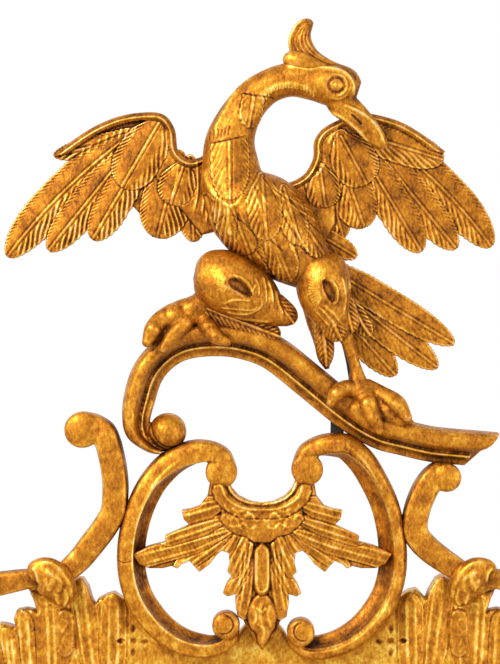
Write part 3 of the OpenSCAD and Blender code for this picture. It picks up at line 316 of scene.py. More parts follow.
def skin(carving, stations, sides=40, relief_shading=0.0):
    """A round form through stations of (x, z, depth, half width, half depth)."""
    s = smooth(stations, 8)
    at = s[:, :3]
    along = np.gradient(at, axis=0)
    along /= np.linalg.norm(along, axis=1)[:, None]
    across = np.cross(along, [0.0, 0.0, -1.0])
    across /= np.linalg.norm(across, axis=1)[:, None]
    out = np.cross(across, along)

    def place(row, col):
        turn = 2 * math.pi * col / sides
        spot = (at[row] + (s[row, 3] * np.cos(turn))[:, None] * across[row]
                + (s[row, 4] * np.sin(turn))[:, None] * out[row])
        return spot[:, 0], spot[:, 1], np.maximum(spot[:, 2], FACE_D), relief_shading

    carving.net(len(s) - 1, sides, place)


# %% [markdown]
# A flat piece is sawn to its outline first. Here a fine grid loses every square outside the outline, its
# border is pulled onto the line, and `extrude_edge_only` takes the border back to make the sawn edge.

# %% Boards
def back_wall(carving, verts, low):
    """Extrudes the open border of a board back to depth low, and returns the new edges there."""
    border = list({e for v in verts for e in v.link_edges if e.is_boundary})
    made = bmesh.ops.extrude_edge_only(carving.bm, edges=border)["geom"]
    # The back edge of the sawn side is painted darker, as shade towards the carcass face
    for v in made:
        if isinstance(v, bmesh.types.BMVert):
            v.co.y = -low / 1000
            v[carving.relief_shading] = -0.5
    return [e for e in made if isinstance(e, bmesh.types.BMEdge)]


def board(carving, outline, low, high, edge, cell, relief_shading):
    """A board of any outline from depth low to high, with an edge rounded over the given width."""
    cell *= COARSE
    x0, z0 = outline.min(axis=0) - cell
    cols, rows = [int(n) + 2 for n in (outline.max(axis=0) - (x0, z0)) / cell]
    made = bmesh.ops.create_grid(carving.bm, x_segments=cols, y_segments=rows, size=0.5)["verts"]
    flat = (np.array([v.co[:2] for v in made]) + 0.5) * (cols * cell, rows * cell) + (x0, z0)
    for v, (x, z) in zip(made, flat):
        v.co = metres(x, z, high)
    faces = list({face for v in made for face in v.link_faces})
    middles = np.array([face.calc_center_median() for face in faces])[:, (0, 2)] * 1000
    outer = [face for face, kept in zip(faces, inside(outline, middles)) if not kept]
    bmesh.ops.delete(carving.bm, geom=outer, context="FACES")
    made = [v for v in made if v.is_valid]
    at = np.array([v.co for v in made])[:, (0, 2)] * 1000
    away, _, _, spot = nearest_on(np.vstack([outline, outline[:1]]), at)
    rise = np.sqrt(1 - (1 - np.minimum(away / edge, 1)) ** 2)
    for v, (x, z), up, on_outline in zip(made, at, rise, spot):
        if v.is_boundary:
            (x, z), up = on_outline, 0.0
        v.co = metres(x, z, high - edge * (1 - up))
        v[carving.relief_shading] = relief_shading
    back_wall(carving, made, low)


# %% [markdown]
# A knob and its band are one piece of wood. A Remesh modifier in voxel mode makes one skin of whatever
# overlaps, and `smooth_vert` takes off its small steps. Booleans would leave thin triangles that catch the
# light.

# %% Fusing
def close(carving):
    """Welds the seams of the nets, fills their open ends and turns all faces outwards."""
    bmesh.ops.remove_doubles(carving.bm, verts=carving.bm.verts, dist=2e-6)
    bmesh.ops.holes_fill(carving.bm, edges=[e for e in carving.bm.edges if e.is_boundary], sides=0)
    bmesh.ops.recalc_face_normals(carving.bm, faces=carving.bm.faces)


def fuse(carving, voxel, rounds=2):
    """Makes one skin of all forms so far by a voxel remesh. New vertices take the relief number, the painted
    light and shade, of the nearest.
    """
    close(carving)
    tree = KDTree(len(carving.bm.verts))
    relief_shading = []
    for v in carving.bm.verts:
        tree.insert(v.co, len(relief_shading))
        relief_shading.append(v[carving.relief_shading])
    tree.balance()
    rough = bpy.data.meshes.new("rough")
    carving.bm.to_mesh(rough)
    carving.bm.free()
    block = bpy.data.objects.new("rough", rough)
    bpy.context.scene.collection.objects.link(block)
    remesh = block.modifiers.new("fuse", "REMESH")
    remesh.mode = "VOXEL"
    remesh.voxel_size = voxel / 1000 * COARSE
    fused = block.evaluated_get(bpy.context.evaluated_depsgraph_get()).to_mesh()
    carving.bm = bmesh.new()
    carving.bm.from_mesh(fused)
    bpy.data.objects.remove(block)
    bpy.data.meshes.remove(rough)
    layers = carving.bm.verts.layers.float
    carving.relief_shading = layers.get("relief_shading") or layers.new("relief_shading")
    for v in carving.bm.verts:
        v[carving.relief_shading] = relief_shading[tree.find(v.co)[1]]
    for _ in range(rounds):
        bmesh.ops.smooth_vert(carving.bm, verts=carving.bm.verts, factor=0.5, use_axis_x=True,
                              use_axis_y=True, use_axis_z=True)


# %% [markdown]
# The last cuts give a carving its life. Each vertex near a drawn line is moved along its normal, and its
# relief number changes with it, so that the gilding gets a painted highlight on a ridge and painted shade in a
# cut.

# %% The chisel
def chisel(carving, *cuts):
    """Each cut is (kind, width, height, relief, depth, lines), with the lines drawn on the view and brought
    to that depth, or in mm if depth is None. A ridge rises round its line, and a cut is a V-shaped groove.
    The relief paints a highlight along a ridge and shade in a cut."""
    verts = list(carving.bm.verts)
    carving.bm.normal_update()
    at = np.array([v.co for v in verts])[:, (0, 2)] * 1000
    normal = np.array([v.normal for v in verts])
    facing = np.clip(-normal[:, 1] * 2.5, 0, 1)
    move, tone = np.zeros(len(verts)), np.zeros(len(verts))
    for kind, width, height, relief_shading, depth, lines in cuts:
        for line in lines:
            line = seen(line, depth) if depth else line
            line = smooth(line, 5) if len(line) > 2 else np.array(line)
            low, high = line.min(axis=0) - 3 * width, line.max(axis=0) + 3 * width
            near = np.flatnonzero(np.all((at > low) & (at < high), axis=1) & (facing > 0))
            if not len(near):
                continue
            away, place, _, _ = nearest_on(line, at[near])
            fade = np.sqrt(np.clip(np.minimum(place, 1 - place) / 0.12, 0, 1)) * facing[near]
            ridge = np.exp(-(away / width) ** 2)
            shape = ridge if kind == "ridge" else -np.clip(1 - away / width, 0, 1)
            move[near] += height * shape * fade
            tone[near] += relief_shading * shape * fade
    for v, n, up, shade in zip(verts, normal, move, tone):
        if up or shade:
            v.co += Vector(n) * (up / 1000)
            v[carving.relief_shading] += shade


# %% [markdown]
# A finished carving stands for the plain CAD piece of the same name and moves with the mirror. Blender's
# extrusions make their faces in a chance order, so the faces are sorted by their corners first, and every
# run gives the same mesh.

# %% Handing a piece over
MOST_CORNERS = 2 ** 17  # more than any piece has, so that one whole number can hold three corner numbers


def corner_order(face):
    """A number for a face, from its three lowest corner numbers."""
    a, b, c = sorted(v.index for v in face.verts)[:3]
    return (a * MOST_CORNERS + b) * MOST_CORNERS + c


def finish(carving, node):
    close(carving)
    carving.bm.verts.index_update()
    carving.bm.faces.sort(key=corner_order)
    mesh = bpy.data.meshes.new(carving.name)
    carving.bm.to_mesh(mesh)
    carving.bm.free()
    mesh.shade_smooth()
    piece = bpy.data.objects.new(carving.name, mesh)
    bpy.context.scene.collection.objects.link(piece)
    piece.data.materials.append(GILDING)
    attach(piece, "mirror")
    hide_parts(node)
    print(carving.name, "has", sum(len(face.vertices) - 2 for face in mesh.polygons), "triangles")


# %% [markdown]
# ## Scrolls
# A scroll is a band that narrows into a knob at each end. The crest's C-scrolls have a broad gently rounded
# face outside, a crisp arris, and a wide bevel that sinks in the middle like a dish. The right one has a
# thin raised fillet between the two. Each section is drawn once, as shares of the band's width and
# thickness, and swept along the edge lines of the crest. The share of the face may change along the way.

# %% Scroll sections
FACE_SHARE = 0.6  # where the face ends in the sections below
# The relief column paints highlights on the arris, the fillet, the face and the roll, and shade in the bevel,
# the coves and down the sides to the carcass face. The left ring's bevel gets more painted shade than the
# right one's.
DISHED_SECTION = [  # share of width from the outer edge, share of thickness, relief
    (0.00, 0.00, -0.6), (0.00, 0.55, -0.2), (0.02, 0.76, 0.1), (0.06, 0.88, 0.3), (0.13, 0.95, 0.25),
    (0.24, 0.985, 0.2), (0.38, 1.0, 0.2), (0.50, 1.01, 0.25), (0.565, 1.01, 0.4), (0.592, 1.0, 0.8),
    (0.606, 0.93, -0.2), (0.63, 0.80, -0.35), (0.70, 0.64, -0.4), (0.78, 0.51, -0.4), (0.87, 0.42, -0.35),
    (0.95, 0.37, -0.2), (1.00, 0.34, 0.0), (1.00, 0.00, -0.6)]
FILLET_SECTION = [
    (0.00, 0.00, -0.6), (0.00, 0.55, -0.2), (0.03, 0.76, 0.1), (0.09, 0.88, 0.15), (0.20, 0.96, 0.1),
    (0.34, 0.995, 0.1), (0.46, 1.00, 0.0), (0.54, 0.97, -0.1), (0.582, 0.90, -0.4), (0.594, 0.84, -0.5),
    (0.602, 0.84, 0.3), (0.610, 0.88, 1.1), (0.630, 0.885, 1.2), (0.645, 0.83, 0.2), (0.69, 0.72, -0.25),
    (0.76, 0.60, -0.3), (0.84, 0.50, -0.15), (0.91, 0.44, -0.1), (0.96, 0.40, -0.1), (1.00, 0.34, 0.0),
    (1.00, 0.00, -0.6)]
FLAT_SECTION = [
    (0.00, 0.00, -0.6), (0.00, 0.70, -0.4), (0.02, 0.86, 0.0), (0.07, 0.95, 0.3), (0.15, 0.99, 0.1),
    (0.40, 1.02, 0.0), (0.70, 1.01, 0.0), (0.88, 0.98, 0.1), (0.945, 0.94, 0.6), (0.97, 0.88, 0.2),
    (1.00, 0.70, -0.3), (1.00, 0.00, -0.6)]


def sweep(carving, edge, width, thickness, section, steps=6, hollow=0.4, end=None):
    """Carves the section along an edge line of points (x, z, share of width, share of hollow). The hollow is
    the part of the section past FACE_SHARE. An end gives how far each share of the width runs past the last
    point."""
    edge = [p if len(p) > 3 else (*p, 1) for p in edge]
    line = smooth(edge, steps)
    side = normals_of(line)
    profile = np.array(section + [section[0]])
    more = 12 if end else 0
    past = np.concatenate([np.zeros(len(line)), np.linspace(0, width, more + 1)[1:]])
    ahead = np.array([side[-1, 1], -side[-1, 0]])
    line, side = np.vstack([line] + [line[-1:]] * more), np.vstack([side] + [side[-1:]] * more)

    def place(row, col):
        face = 1 - hollow * line[row, 3]
        u = profile[col, 0]
        u = np.where(u <= FACE_SHARE, u * face / FACE_SHARE,
                     face + (u - FACE_SHARE) * (1 - face) / (1 - FACE_SHARE))
        share = line[row, 2]
        reach = width * share * u
        thick = thickness * (0.70 + 0.30 * np.abs(share))
        limit = width * np.interp(u, *zip(*end)) if end else 0.0
        on = np.minimum(past[row], limit)
        return (line[row, 0] + side[row, 0] * reach + ahead[0] * on,
                line[row, 1] + side[row, 1] * reach + ahead[1] * on,
                FACE_D + thick * profile[col, 1], profile[col, 2])

    carving.net(len(line) - 1, len(profile) - 1, place)
    return line, side


def knob(carving, line, side, end, r, thickness, high=0.88, flat=0.32):
    """The round end of a scroll: end is 0 for its start and -1 for its finish, r is signed as the side is."""
    centre = line[end, :2] + side[end] * r
    size = abs(r)

    def place(row, col):
        turn = 2 * math.pi * col / 48
        t = row / 12
        reach = size * np.sin(np.minimum(t * 1.25, 1) * math.pi / 2)
        top = FACE_D + high * thickness + flat * size * np.cos(np.minimum(t * 1.25, 1) * math.pi / 2)
        depth = np.where(t <= 0.8, top, FACE_D + high * thickness * (1 - (t - 0.8) / 0.2))
        return centre[0] + reach * np.cos(turn), centre[1] + reach * np.sin(turn), depth, 0.15

    carving.net(12, 48, place)


# %% [markdown]
# The left ring's bevel starts narrow at the top and widens round the bend. A ridge cut along the arris keeps
# it crisp after the fusing, and paints a highlight along it. The lines are worked out from the same edge
# line, so they always lie on the band.

# %% Crest rings
BAND_W, BAND_T = 25.0, 26.0
RING_LEFT = on_crest([
    (-23, 178, .3, .0), (-29, 192, .52, .0), (-42, 200, .72, .0), (-60, 202, .86, .08), (-78, 197, .94, .3),
    (-95, 186, 1, .55), (-110, 168, 1, .8), (-122, 143, 1, .95), (-129, 115, 1, 1), (-130, 86, 1, 1),
    (-124, 60, 1, 1), (-113, 40, 1, 1), (-96, 22, .96, 1), (-75, 10, .9, 1), (-52, 6, .82, .9),
    (-33, 11, .66, .7), (-22, 22, .48, .4), (-20, 35, .3, .2)])
RING_RIGHT = on_crest([
    (27, 180, -.3, 0), (33, 195, -.52, 0), (46, 204, -.72, .1), (62, 208, -.86, .3), (80, 206, -.94, .5),
    (98, 192, -1, .75), (112, 170, -1, .95), (123, 145, -1, 1), (129, 116, -1, 1), (130, 86, -1, 1),
    (124, 60, -1, 1), (113, 40, -1, 1), (96, 22, -.96, 1), (75, 10, -.9, 1), (52, 4.5, -.82, .95),
    (35, 7, -.66, .8), (25, 16, -.48, .6), (22.5, 28, -.3, .4)])
TOP_R, LOWER_R, CURL_R = 14.3, 12.4, 8.4  # radii of the knobs, and of the curl cut on the lower one
for name, edge, turn, section, hollow, crack in (
        ("crest_scroll_left", RING_LEFT, 1, DISHED_SECTION, 0.41, [(117, 560), (124, 563), (132, 561)]),
        ("crest_scroll_right", RING_RIGHT, -1, FILLET_SECTION, 0.57, [(404, 560), (412, 566)])):
    ring = Carving(name + "_carved")
    line, side = sweep(ring, edge, BAND_W, BAND_T, section, hollow=hollow)
    knob(ring, line, side, 0, turn * TOP_R, BAND_T, high=0.76, flat=0.25)
    knob(ring, line, side, -1, turn * LOWER_R, BAND_T)
    fuse(ring, 1.0)
    arris = [line[i, :2] + side[i] * BAND_W * line[i, 2] * (1 - hollow) for i in range(24, len(line) - 14, 3)]
    x, z = line[-1, :2] + side[-1] * turn * LOWER_R + (-turn * 1.8, 1.2)
    curl = [(x + turn * CURL_R * math.cos(a), z + CURL_R * math.sin(a)) for a in np.linspace(-2.1, 1.5, 16)]
    chisel(ring, ("cut", 0.7, 0.8, 1.0, 58, [crack]), ("cut", 1.0, 1.3, 1.0, None, [curl]),
           ("ridge", 1.1, 0.7, 0.9, None, [arris]))
    finish(ring, name)

# %% [markdown]
# The outer scrolls are plain S-bands with one knob, which hold the crest up at its sides. They share the
# sweep and the knob of the rings, with a flat face, and a highlight is painted along the rounding of the inner
# edge.

# %% Outer scrolls
OUTER_LEFT = on_crest([
    (-157.5, 227, -.3), (-146, 224, -.7), (-134, 216, -.95), (-127.5, 203, -1), (-123, 185, -1),
    (-120.5, 167, -1), (-120.3, 152, -1), (-122.5, 134, -1), (-131, 118, -1), (-143, 102, -1),
    (-155, 88, -.95), (-168, 77, -.88), (-178, 71, -.8)])
OUTER_RIGHT = on_crest([
    (167, 181.5, .3), (155, 182, .7), (144, 173.5, .95), (135.5, 161, 1), (128.5, 143, 1), (125.5, 125, 1),
    (128.5, 111, 1), (140, 97, 1), (155, 86, .95), (170, 77, .88), (180, 71, .8)])
for name, edge, r in (("outer_scroll_left", OUTER_LEFT, -16.2), ("outer_scroll_right", OUTER_RIGHT, 13.0)):
    outer = Carving(name + "_carved")
    line, side = sweep(outer, edge, 23.0, BAND_T, FLAT_SECTION)
    knob(outer, line, side, 0, r, BAND_T)
    fuse(outer, 1.1)
    finish(outer, name)

# %% [markdown]
# The perch is a heavier S-scroll: a bold roll along the top, a cove under it, a thin fillet and a lower
# cove. Highlights are painted on the roll and the fillet, and shade in the cove under the roll. Its left end
# curls down into a large ball.

# %% Perch scroll
PERCH_SECTION = [  # from the lower, inner edge up to the roll
    (0.00, 0.00, -0.6), (0.00, 0.36, -0.2), (0.02, 0.43, 0.1), (0.08, 0.44, -0.1), (0.16, 0.46, -0.2),
    (0.20, 0.51, 0.0), (0.22, 0.57, 0.5), (0.25, 0.62, 0.9), (0.285, 0.62, 0.9), (0.31, 0.57, 0.2),
    (0.335, 0.53, -0.4), (0.365, 0.55, -0.45), (0.395, 0.66, -0.3), (0.43, 0.79, -0.15), (0.48, 0.90, 0.0),
    (0.56, 0.97, 0.1), (0.66, 1.00, 0.15), (0.78, 0.985, 0.2), (0.87, 0.93, 0.25), (0.94, 0.83, 0.2),
    (0.98, 0.68, -0.2), (1.00, 0.48, -0.4), (1.00, 0.00, -0.6)]
PERCH_END = [(0.0, 0.0), (0.37, 0.16), (0.56, 0.6), (1.0, 0.9)]  # share of width, share of width past the end
PERCH_W, PERCH_T = 32.0, 36.0
PERCH = on_crest([
    (-87, 195, .22), (-96, 201, .4), (-101, 211, .68), (-100.5, 221, .8), (-97, 234, .88), (-90.5, 254, .9),
    (-79.5, 267, .92), (-65, 274.5, .97), (-42, 277, 1), (-20, 274.5, 1), (3, 265.5, 1), (34, 241, 1),
    (70, 212, 1), (99, 195, 1), (124, 188, 1), (151, 182, 1), (182, 179, 1)])
perch = Carving("perch_scroll_carved")
sweep(perch, PERCH, PERCH_W, PERCH_T, PERCH_SECTION, end=PERCH_END)
BALL_R = 16.8
ball(perch, -84.6, 209.5 + CREST_Z, FACE_D + 0.7 * PERCH_T + 5 - BALL_R, BALL_R)
fuse(perch, 1.05)
chisel(perch, ("cut", 1.2, 1.2, 0.9, 68, [[(150, 420), (153, 436), (166, 448), (182, 445)]]),
       ("ridge", 2.0, 0.8, 0.7, 68, [[(152, 400), (147, 420), (150, 440)]]))
finish(perch, "perch_scroll")

# %% [markdown]
# ## A single leaf
# Leaves that stand free are closed nets: rows run from root to tip, and columns cross the front and come
# back along the flat underside. A raised midrib, side veins and a thin rim make them look cut rather than
# cast. The net follows the leaf, so its veins stay crisp without a dense grid.

# %% A carved leaf
LEAF_FINE = 1.1   # width of a square of its net
LEAF_DROOP = 1.5  # how far its tip sinks


def leaf_net(carving, root, tip, width, bow, low, high, veins=0.35):
    """low and high are the depths of its underside and its crown, veins how deep they are cut."""
    length = math.dist(root, tip)
    rows = max(20, int(length / LEAF_FINE / COARSE))
    half = max(7, int(width / 2 / LEAF_FINE / COARSE))
    middle = bowed(root, tip, bow, rows)
    side = normals_of(middle)
    across = np.concatenate([[-1.0], np.linspace(-1, 1, 2 * half + 1), [1.0, -1.0]])
    last = len(across) - 1

    def place(row, col):
        t = row / rows
        u = across[col]
        under = (col == 0) | (col >= last - 1)
        reach = width / 2 * leaf_share(t)
        away = np.abs(u) * reach
        cut = veins * np.sin(2 * math.pi * (t * length - 1.3 * away) / 5.0) * np.clip((away - 1.5) / 2, 0, 1)
        body = (high - low) * (1 - 0.25 * t)
        camber = 0.45 + 0.55 * (1 - np.abs(u) ** 2.4)
        rib = 1.1 * np.exp(-(away / 1.1) ** 2) * (1 - 0.5 * t) - 0.7 * np.exp(-((away - 2.4) / 1.0) ** 2)
        lip = 0.7 * np.exp(-((reach - away - 1.2) / 1.0) ** 2)
        depth = low - LEAF_DROOP * t ** 2 + np.where(under, 0, body * camber + rib + lip + cut)
        # Painted highlight on the midrib, the rim and the crests of the veins; painted shade in the grooves
        # beside the midrib, between the veins, towards the root and on the underside
        tone = 0.8 * rib + 0.8 * lip + 0.8 * cut - 0.3 * (1 - t) ** 3
        return (middle[row, 0] + side[row, 0] * reach * u, middle[row, 1] + side[row, 1] * reach * u,
                depth, np.where(under, -0.6, tone))

    carving.net(rows, last, place)


# %% [markdown]
# ## Feathers
# A carved feather is a blade with a raised shaft, a thin raised rim and barbs that slant towards the tip. On
# the real bird they lie on each other like tiles, cut from one board. So a feather is written as a form: a
# function that says, for each point of the front view, how far inside the feather it is, how high, and how
# bright. Forms are laid over each other in order, and each sinks a narrow groove along its edge into
# whatever is under it, with a painted shadow line in it.

# %% Forms and how they are laid
def bounded(form, line, margin):
    """Notes the box that a form lies in, so that it is worked out only near its own place."""
    form.low, form.high = np.min(line, axis=0)[:2] - margin, np.max(line, axis=0)[:2] + margin
    return form


def lay(points, forms):
    """The forms over each other: how far inside their outline, how high and what relief each point is."""
    field = np.full(len(points), -1e3)
    high, tone = np.zeros(len(points)), np.zeros(len(points))
    for form in forms:
        near = np.flatnonzero(np.all((points > form.low) & (points < form.high), axis=1))
        if not len(near):
            continue
        inner, form_high, form_tone = form(points[near])
        # Beside a form, what lies under it is sunk a little and painted with a shadow line
        beside = (inner > -1.0) & (inner <= 0)
        high[near[beside]] -= 0.6 * (1 + inner[beside])
        tone[near[beside]] -= 0.9 * (1 + inner[beside])
        on = inner > 0
        high[near[on]], tone[near[on]] = form_high[on], form_tone[on]
        field[near] = np.maximum(field[near], inner)
    return field, high, tone


def blade_form(root, tip, width, bow=0.0, level=0.0, lift=0.0, camber=1.6, inner=1, strokes=0.8, comb=0.3,
               begin=0.15, shaft=0.7, rim=0.5, full=0.62, tint=0.0):
    """A feather. Its inner side has bold slanting strokes, its outer side only a fine comb along the edge.
    The strokes begin at a share of the half width from the shaft; the feather narrows after the place full.
    Highlights are painted on the shaft, the rim and the crests of the strokes, shade in the groove beside the
    shaft and between the strokes, and the comb side is a little darker."""
    middle = bowed(root[:2], tip[:2], bow, 20)
    length = math.dist(root[:2], tip[:2])

    def form(points):
        away, t, side, _ = nearest_on(middle, points)
        reach = np.maximum(width / 2 * leaf_share(t, full), 0.01)
        share = away / reach
        bold = side * inner > 0
        pitch = np.where(bold, 9.0, 4.6)
        slant = np.where(bold, 1.9, 1.4)
        wobble = 0.8 * np.sin(0.23 * t * length + width)
        wave = np.sin(2 * math.pi * (t * length - slant * away) / pitch + wobble)
        fade = np.clip((share - np.where(bold, begin, 0.66)) / 0.15, 0, 1) * np.clip((0.98 - t) / 0.05, 0, 1)
        barbs = np.where(bold, strokes, comb) * (wave + 0.25) * fade
        ridge = shaft * np.exp(-(away / 0.9) ** 2) * (1 - 0.5 * t)
        groove = shaft * np.exp(-((away - 1.9) / 0.7) ** 2)
        lip = rim * np.exp(-((reach - away - 0.9) / 0.8) ** 2)
        crown = camber * (1 - np.minimum(share, 1) ** 2)
        high = level + lift * t + crown + ridge - 0.7 * groove + lip + barbs
        tone = tint + 0.9 * ridge - 0.7 * groove + 0.8 * lip + 0.9 * barbs - np.where(bold, 0.0, 0.2)
        return reach - away + 0.35 * wave * (comb > 0), high, tone

    return bounded(form, middle, width / 2 + 4)


def lobe_form(root, tip, width, level, lines, barbs=0.0, camber=2.0, tint=0.0, ridge=1.2):
    """A lobe of a leaf, with ridges along it at shares of its half width, and short cross strokes. The ridges,
    the rim and the strokes are painted with highlight, and the lobe is darker towards its root.
    """
    middle = np.linspace(root[:2], tip[:2], 12)
    length = math.dist(root[:2], tip[:2])

    def form(points):
        away, t, side, _ = nearest_on(middle, points)
        reach = np.maximum(width / 2 * leaf_share(t, 0.8), 0.01)
        across = side * away
        ridges = sum(np.exp(-((across - share * reach) / ridge) ** 2) for share in lines)
        ridges *= np.clip(3 - 3 * t, 0, 1)
        lip = np.exp(-((reach - away - 1.1) / 0.9) ** 2)
        strokes = barbs * np.sin(2 * math.pi * (t * length + 0.3 * away) / 3.6)
        strokes *= np.clip((reach - away) / 3, 0, 1)
        high = level + camber * (1 - np.minimum(away / reach, 1) ** 2) + ridges + 0.7 * lip + strokes
        tone = tint + 0.9 * ridges + 0.63 * lip + 1.1 * strokes - 0.25 * (1 - t)
        return reach - away, high, tone

    return bounded(form, middle, width / 2 + 4)


def plate_form(outline, level, edge=3.0, tint=0.0, slope=(0.0, 0.0)):
    """A flat place with a rounded edge, painted darker where the edge rounds down, as shade. The slope is its
    rise in mm per mm to the right and up.
    """
    outline = np.array(outline, float)
    middle = outline.mean(axis=0)

    def form(points):
        away, _, _, _ = nearest_on(np.vstack([outline, outline[:1]]), points)
        within = np.where(inside(outline, points), away, -away)
        drop = 1 - np.sqrt(1 - (1 - np.clip(within / edge, 0, 1)) ** 2)
        rise = (points - middle) @ np.array(slope)
        return within, level + rise - 0.8 * edge * drop, tint - 0.3 * drop

    return bounded(form, outline, 4)


def arm_form(line, width, level):
    """The leading edge of a wing: a chamfer painted with shade, a ridge painted with a highlight, and a slope
    down to the feathers.
    """
    length = np.linalg.norm(np.diff(line, axis=0), axis=1).sum()

    def form(points):
        away, t, side, _ = nearest_on(line, points)
        inward = away * side
        crest = np.exp(-((inward - 4.2) / 0.8) ** 2)
        chamfer, slope = np.clip(1 - inward / 4.2, 0, 1), np.clip((inward - 4.2) / 3, 0, 1)
        high = level - 4.0 * chamfer + 0.5 * crest - 2.2 * slope
        tone = crest - 0.3 * (inward < 3.3) - 0.05
        from_end = length * np.minimum(t, 1 - t)
        narrowed = width * np.minimum(1, 0.3 + from_end / 16)
        ends = np.where(from_end > 0.2, 1e3, -1.0)
        return np.minimum(np.minimum(inward, narrowed - inward), ends), high, tone

    return bounded(form, line, width + 4)


def within_form(form, ground):
    """A form kept inside the outline of another."""
    def kept(points):
        field, high, tone = form(points)
        return np.minimum(field, ground(points)[0]), high, tone

    kept.low, kept.high = form.low, form.high
    return kept


def pit_form(outline, depth, tint=-0.2, level=0.0):
    """A sunk hollow with steep sides, painted with shade inside by the tint."""
    outline = smooth(outline + outline[:1], 4)

    def form(points):
        away, _, _, _ = nearest_on(outline, points)
        within = np.where(inside(outline, points), away, -away)
        return within, level - depth * np.sqrt(np.clip(within / 2.5, 0, 1)), np.full(len(points), tint)

    return bounded(form, outline, 4)


# %% [markdown]
# A relief board is a fine grid that keeps only the squares inside the forms. Its border corners are pulled
# onto the outline, and the border is then extruded back to the flat underside.

# %% Relief boards and overlays
def relief_board(carving, forms, low, box, cell):
    """A board cut to the outline of its forms, on a grid over the box. Their heights are depths in mm."""
    cell *= COARSE
    corner, size = np.array(box[0], float), np.array(box[1], float) - box[0]
    cols, rows = (size / cell).astype(int)
    bm = carving.bm
    made = bmesh.ops.create_grid(bm, x_segments=cols, y_segments=rows, size=0.5)["verts"]
    at = (np.array([v.co[:2] for v in made]) + 0.5) * size + corner
    kept = lay(at, forms)[0] > -0.3 * cell
    bmesh.ops.delete(bm, geom=[v for v, keep in zip(made, kept) if not keep], context="VERTS")
    made, at = [v for v, keep in zip(made, kept) if keep], at[kept]
    loose = [v for v in made if not v.link_faces]
    kept = np.array([bool(v.link_faces) for v in made])
    made, at = [v for v in made if v.link_faces], at[kept]
    bmesh.ops.delete(bm, geom=loose, context="VERTS")
    rim = np.array([v.is_boundary for v in made])
    inward = np.zeros((rim.sum(), 2))
    for _ in range(3):
        field = lay(at[rim], forms)[0]
        slope = np.stack([lay(at[rim] + step, forms)[0] - field for step in ((0.1, 0), (0, 0.1))], axis=1)
        inward = slope / np.maximum(np.linalg.norm(slope, axis=1), 1e-6)[:, None]
        at[rim] -= np.clip(field, -cell, cell)[:, None] * inward
    _, high, tone = lay(at, forms)
    _, rim_high, rim_tone = lay(at[rim] + 0.5 * inward, forms)
    high[rim], tone[rim] = rim_high - 0.6, rim_tone
    for v, (x, z), d, shade in zip(made, at, high, tone):
        v.co = metres(x, z, max(d, low + 1))
        v[carving.relief_shading] = shade
    foot = back_wall(carving, made, low)
    bmesh.ops.triangle_fill(bm, edges=foot, normal=(0, 1, 0), use_beauty=False, use_dissolve=False)


def overlay(carving, forms):
    """Lays forms over the front of a skin, with heights counted along its normals."""
    bm = carving.bm
    bm.normal_update()
    verts = [v for v in bm.verts if v.normal.y < -0.05]
    at = np.array([v.co for v in verts])[:, (0, 2)] * 1000
    _, high, tone = lay(at, forms)
    for v, up, shade in zip(verts, high, tone):
        if up or shade:
            fade = min(1, -v.normal.y * 2.5)
            v.co += v.normal * (up * fade / 1000)
            v[carving.relief_shading] += shade * fade


# %% [markdown]
# ## Wings
# Each wing has long primaries that reach down and outwards, broad rounded feathers below, a smooth shoulder,
# two big coverts that lie on all of them, and a rounded leading edge whose ridge is painted with a highlight
# and whose chamfer is painted with shade.

# %% Wing drawings
WING_D, WING_T = 40.0, 18.0
# Feathers are root, tip, width, bow, level, comb side; drawn from the lowest layer up
LEFT_FEATHERS = [
    ((-82.8, 480.6), (-187.2, 457.2), 20, 0, 50.5, 1), ((-124, 471), (-228.6, 366.3), 35, -5.5, 48.5, 1),
    ((-118.8, 462.6), (-191.7, 371.7), 31, 0, 49.5, 1), ((-109.8, 453.6), (-152.1, 381.6), 31, 0, 50.0, 1),
    ((-64.8, 453.6), (-61.2, 379.8), 28, 0, 48.5, 1), ((-76, 455), (-94, 383.2), 45, 0, 50.0, 1)]
LEFT_COVERTS = [((-91.8, 487), (-126, 428.4), 42, 0, 52.5, 1), ((-70, 449), (-82, 413), 33, 0, 53.0, 1)]
LEFT_UNDER = seen([(66, 150), (76, 142), (95, 130.5), (116, 121.5), (133, 117.5), (149, 118.5), (160, 125),
                   (168, 140), (180, 156), (205, 160), (205, 205), (195, 225), (160, 225), (140, 214),
                   (131.8, 205), (112, 195), (70, 165)], 48)
RIGHT_UNDER = seen([(322, 150), (318, 195), (330, 210), (360, 212), (379, 208), (400, 215), (428, 233),
                    (440, 200), (438, 160), (420, 140), (370, 125), (340, 125)], 48)
RIGHT_FEATHERS = [
    ((108, 474), (206.1, 375.3), 36, 5.5, 48.5, -1), ((101.7, 462.6), (174.6, 373.5), 32, 0, 49.5, -1),
    ((88.2, 462.6), (143.1, 370.8), 33, 0, 50.0, -1), ((56.7, 444.6), (72.9, 383.4), 24, 0, 48.5, -1),
    ((72, 450), (92, 392.4), 38, 0, 50.0, -1), ((84, 478), (163, 453), 31, 0, 52.0, -1)]
RIGHT_COVERTS = [((71, 474), (94, 431), 41, 0, 53.0, -1), ((52, 445), (57, 410), 31, 0, 53.5, -1)]
LEFT_SHOULDER = on_crest([(-100, 488), (-84, 486), (-75, 461), (-66, 450), (-56, 450), (-45, 455), (-33, 418),
                          (-42, 389), (-54, 386), (-72, 408), (-92, 432), (-104, 450), (-112, 474)])
RIGHT_SHOULDER = on_crest([(90, 488), (68, 486), (54, 478), (48, 466), (47, 454), (38, 440), (25, 432),
                           (0, 442.8), (16, 399.6), (34, 381.6), (56.7, 380), (66, 396), (66, 430),
                           (80, 452), (100, 470)])
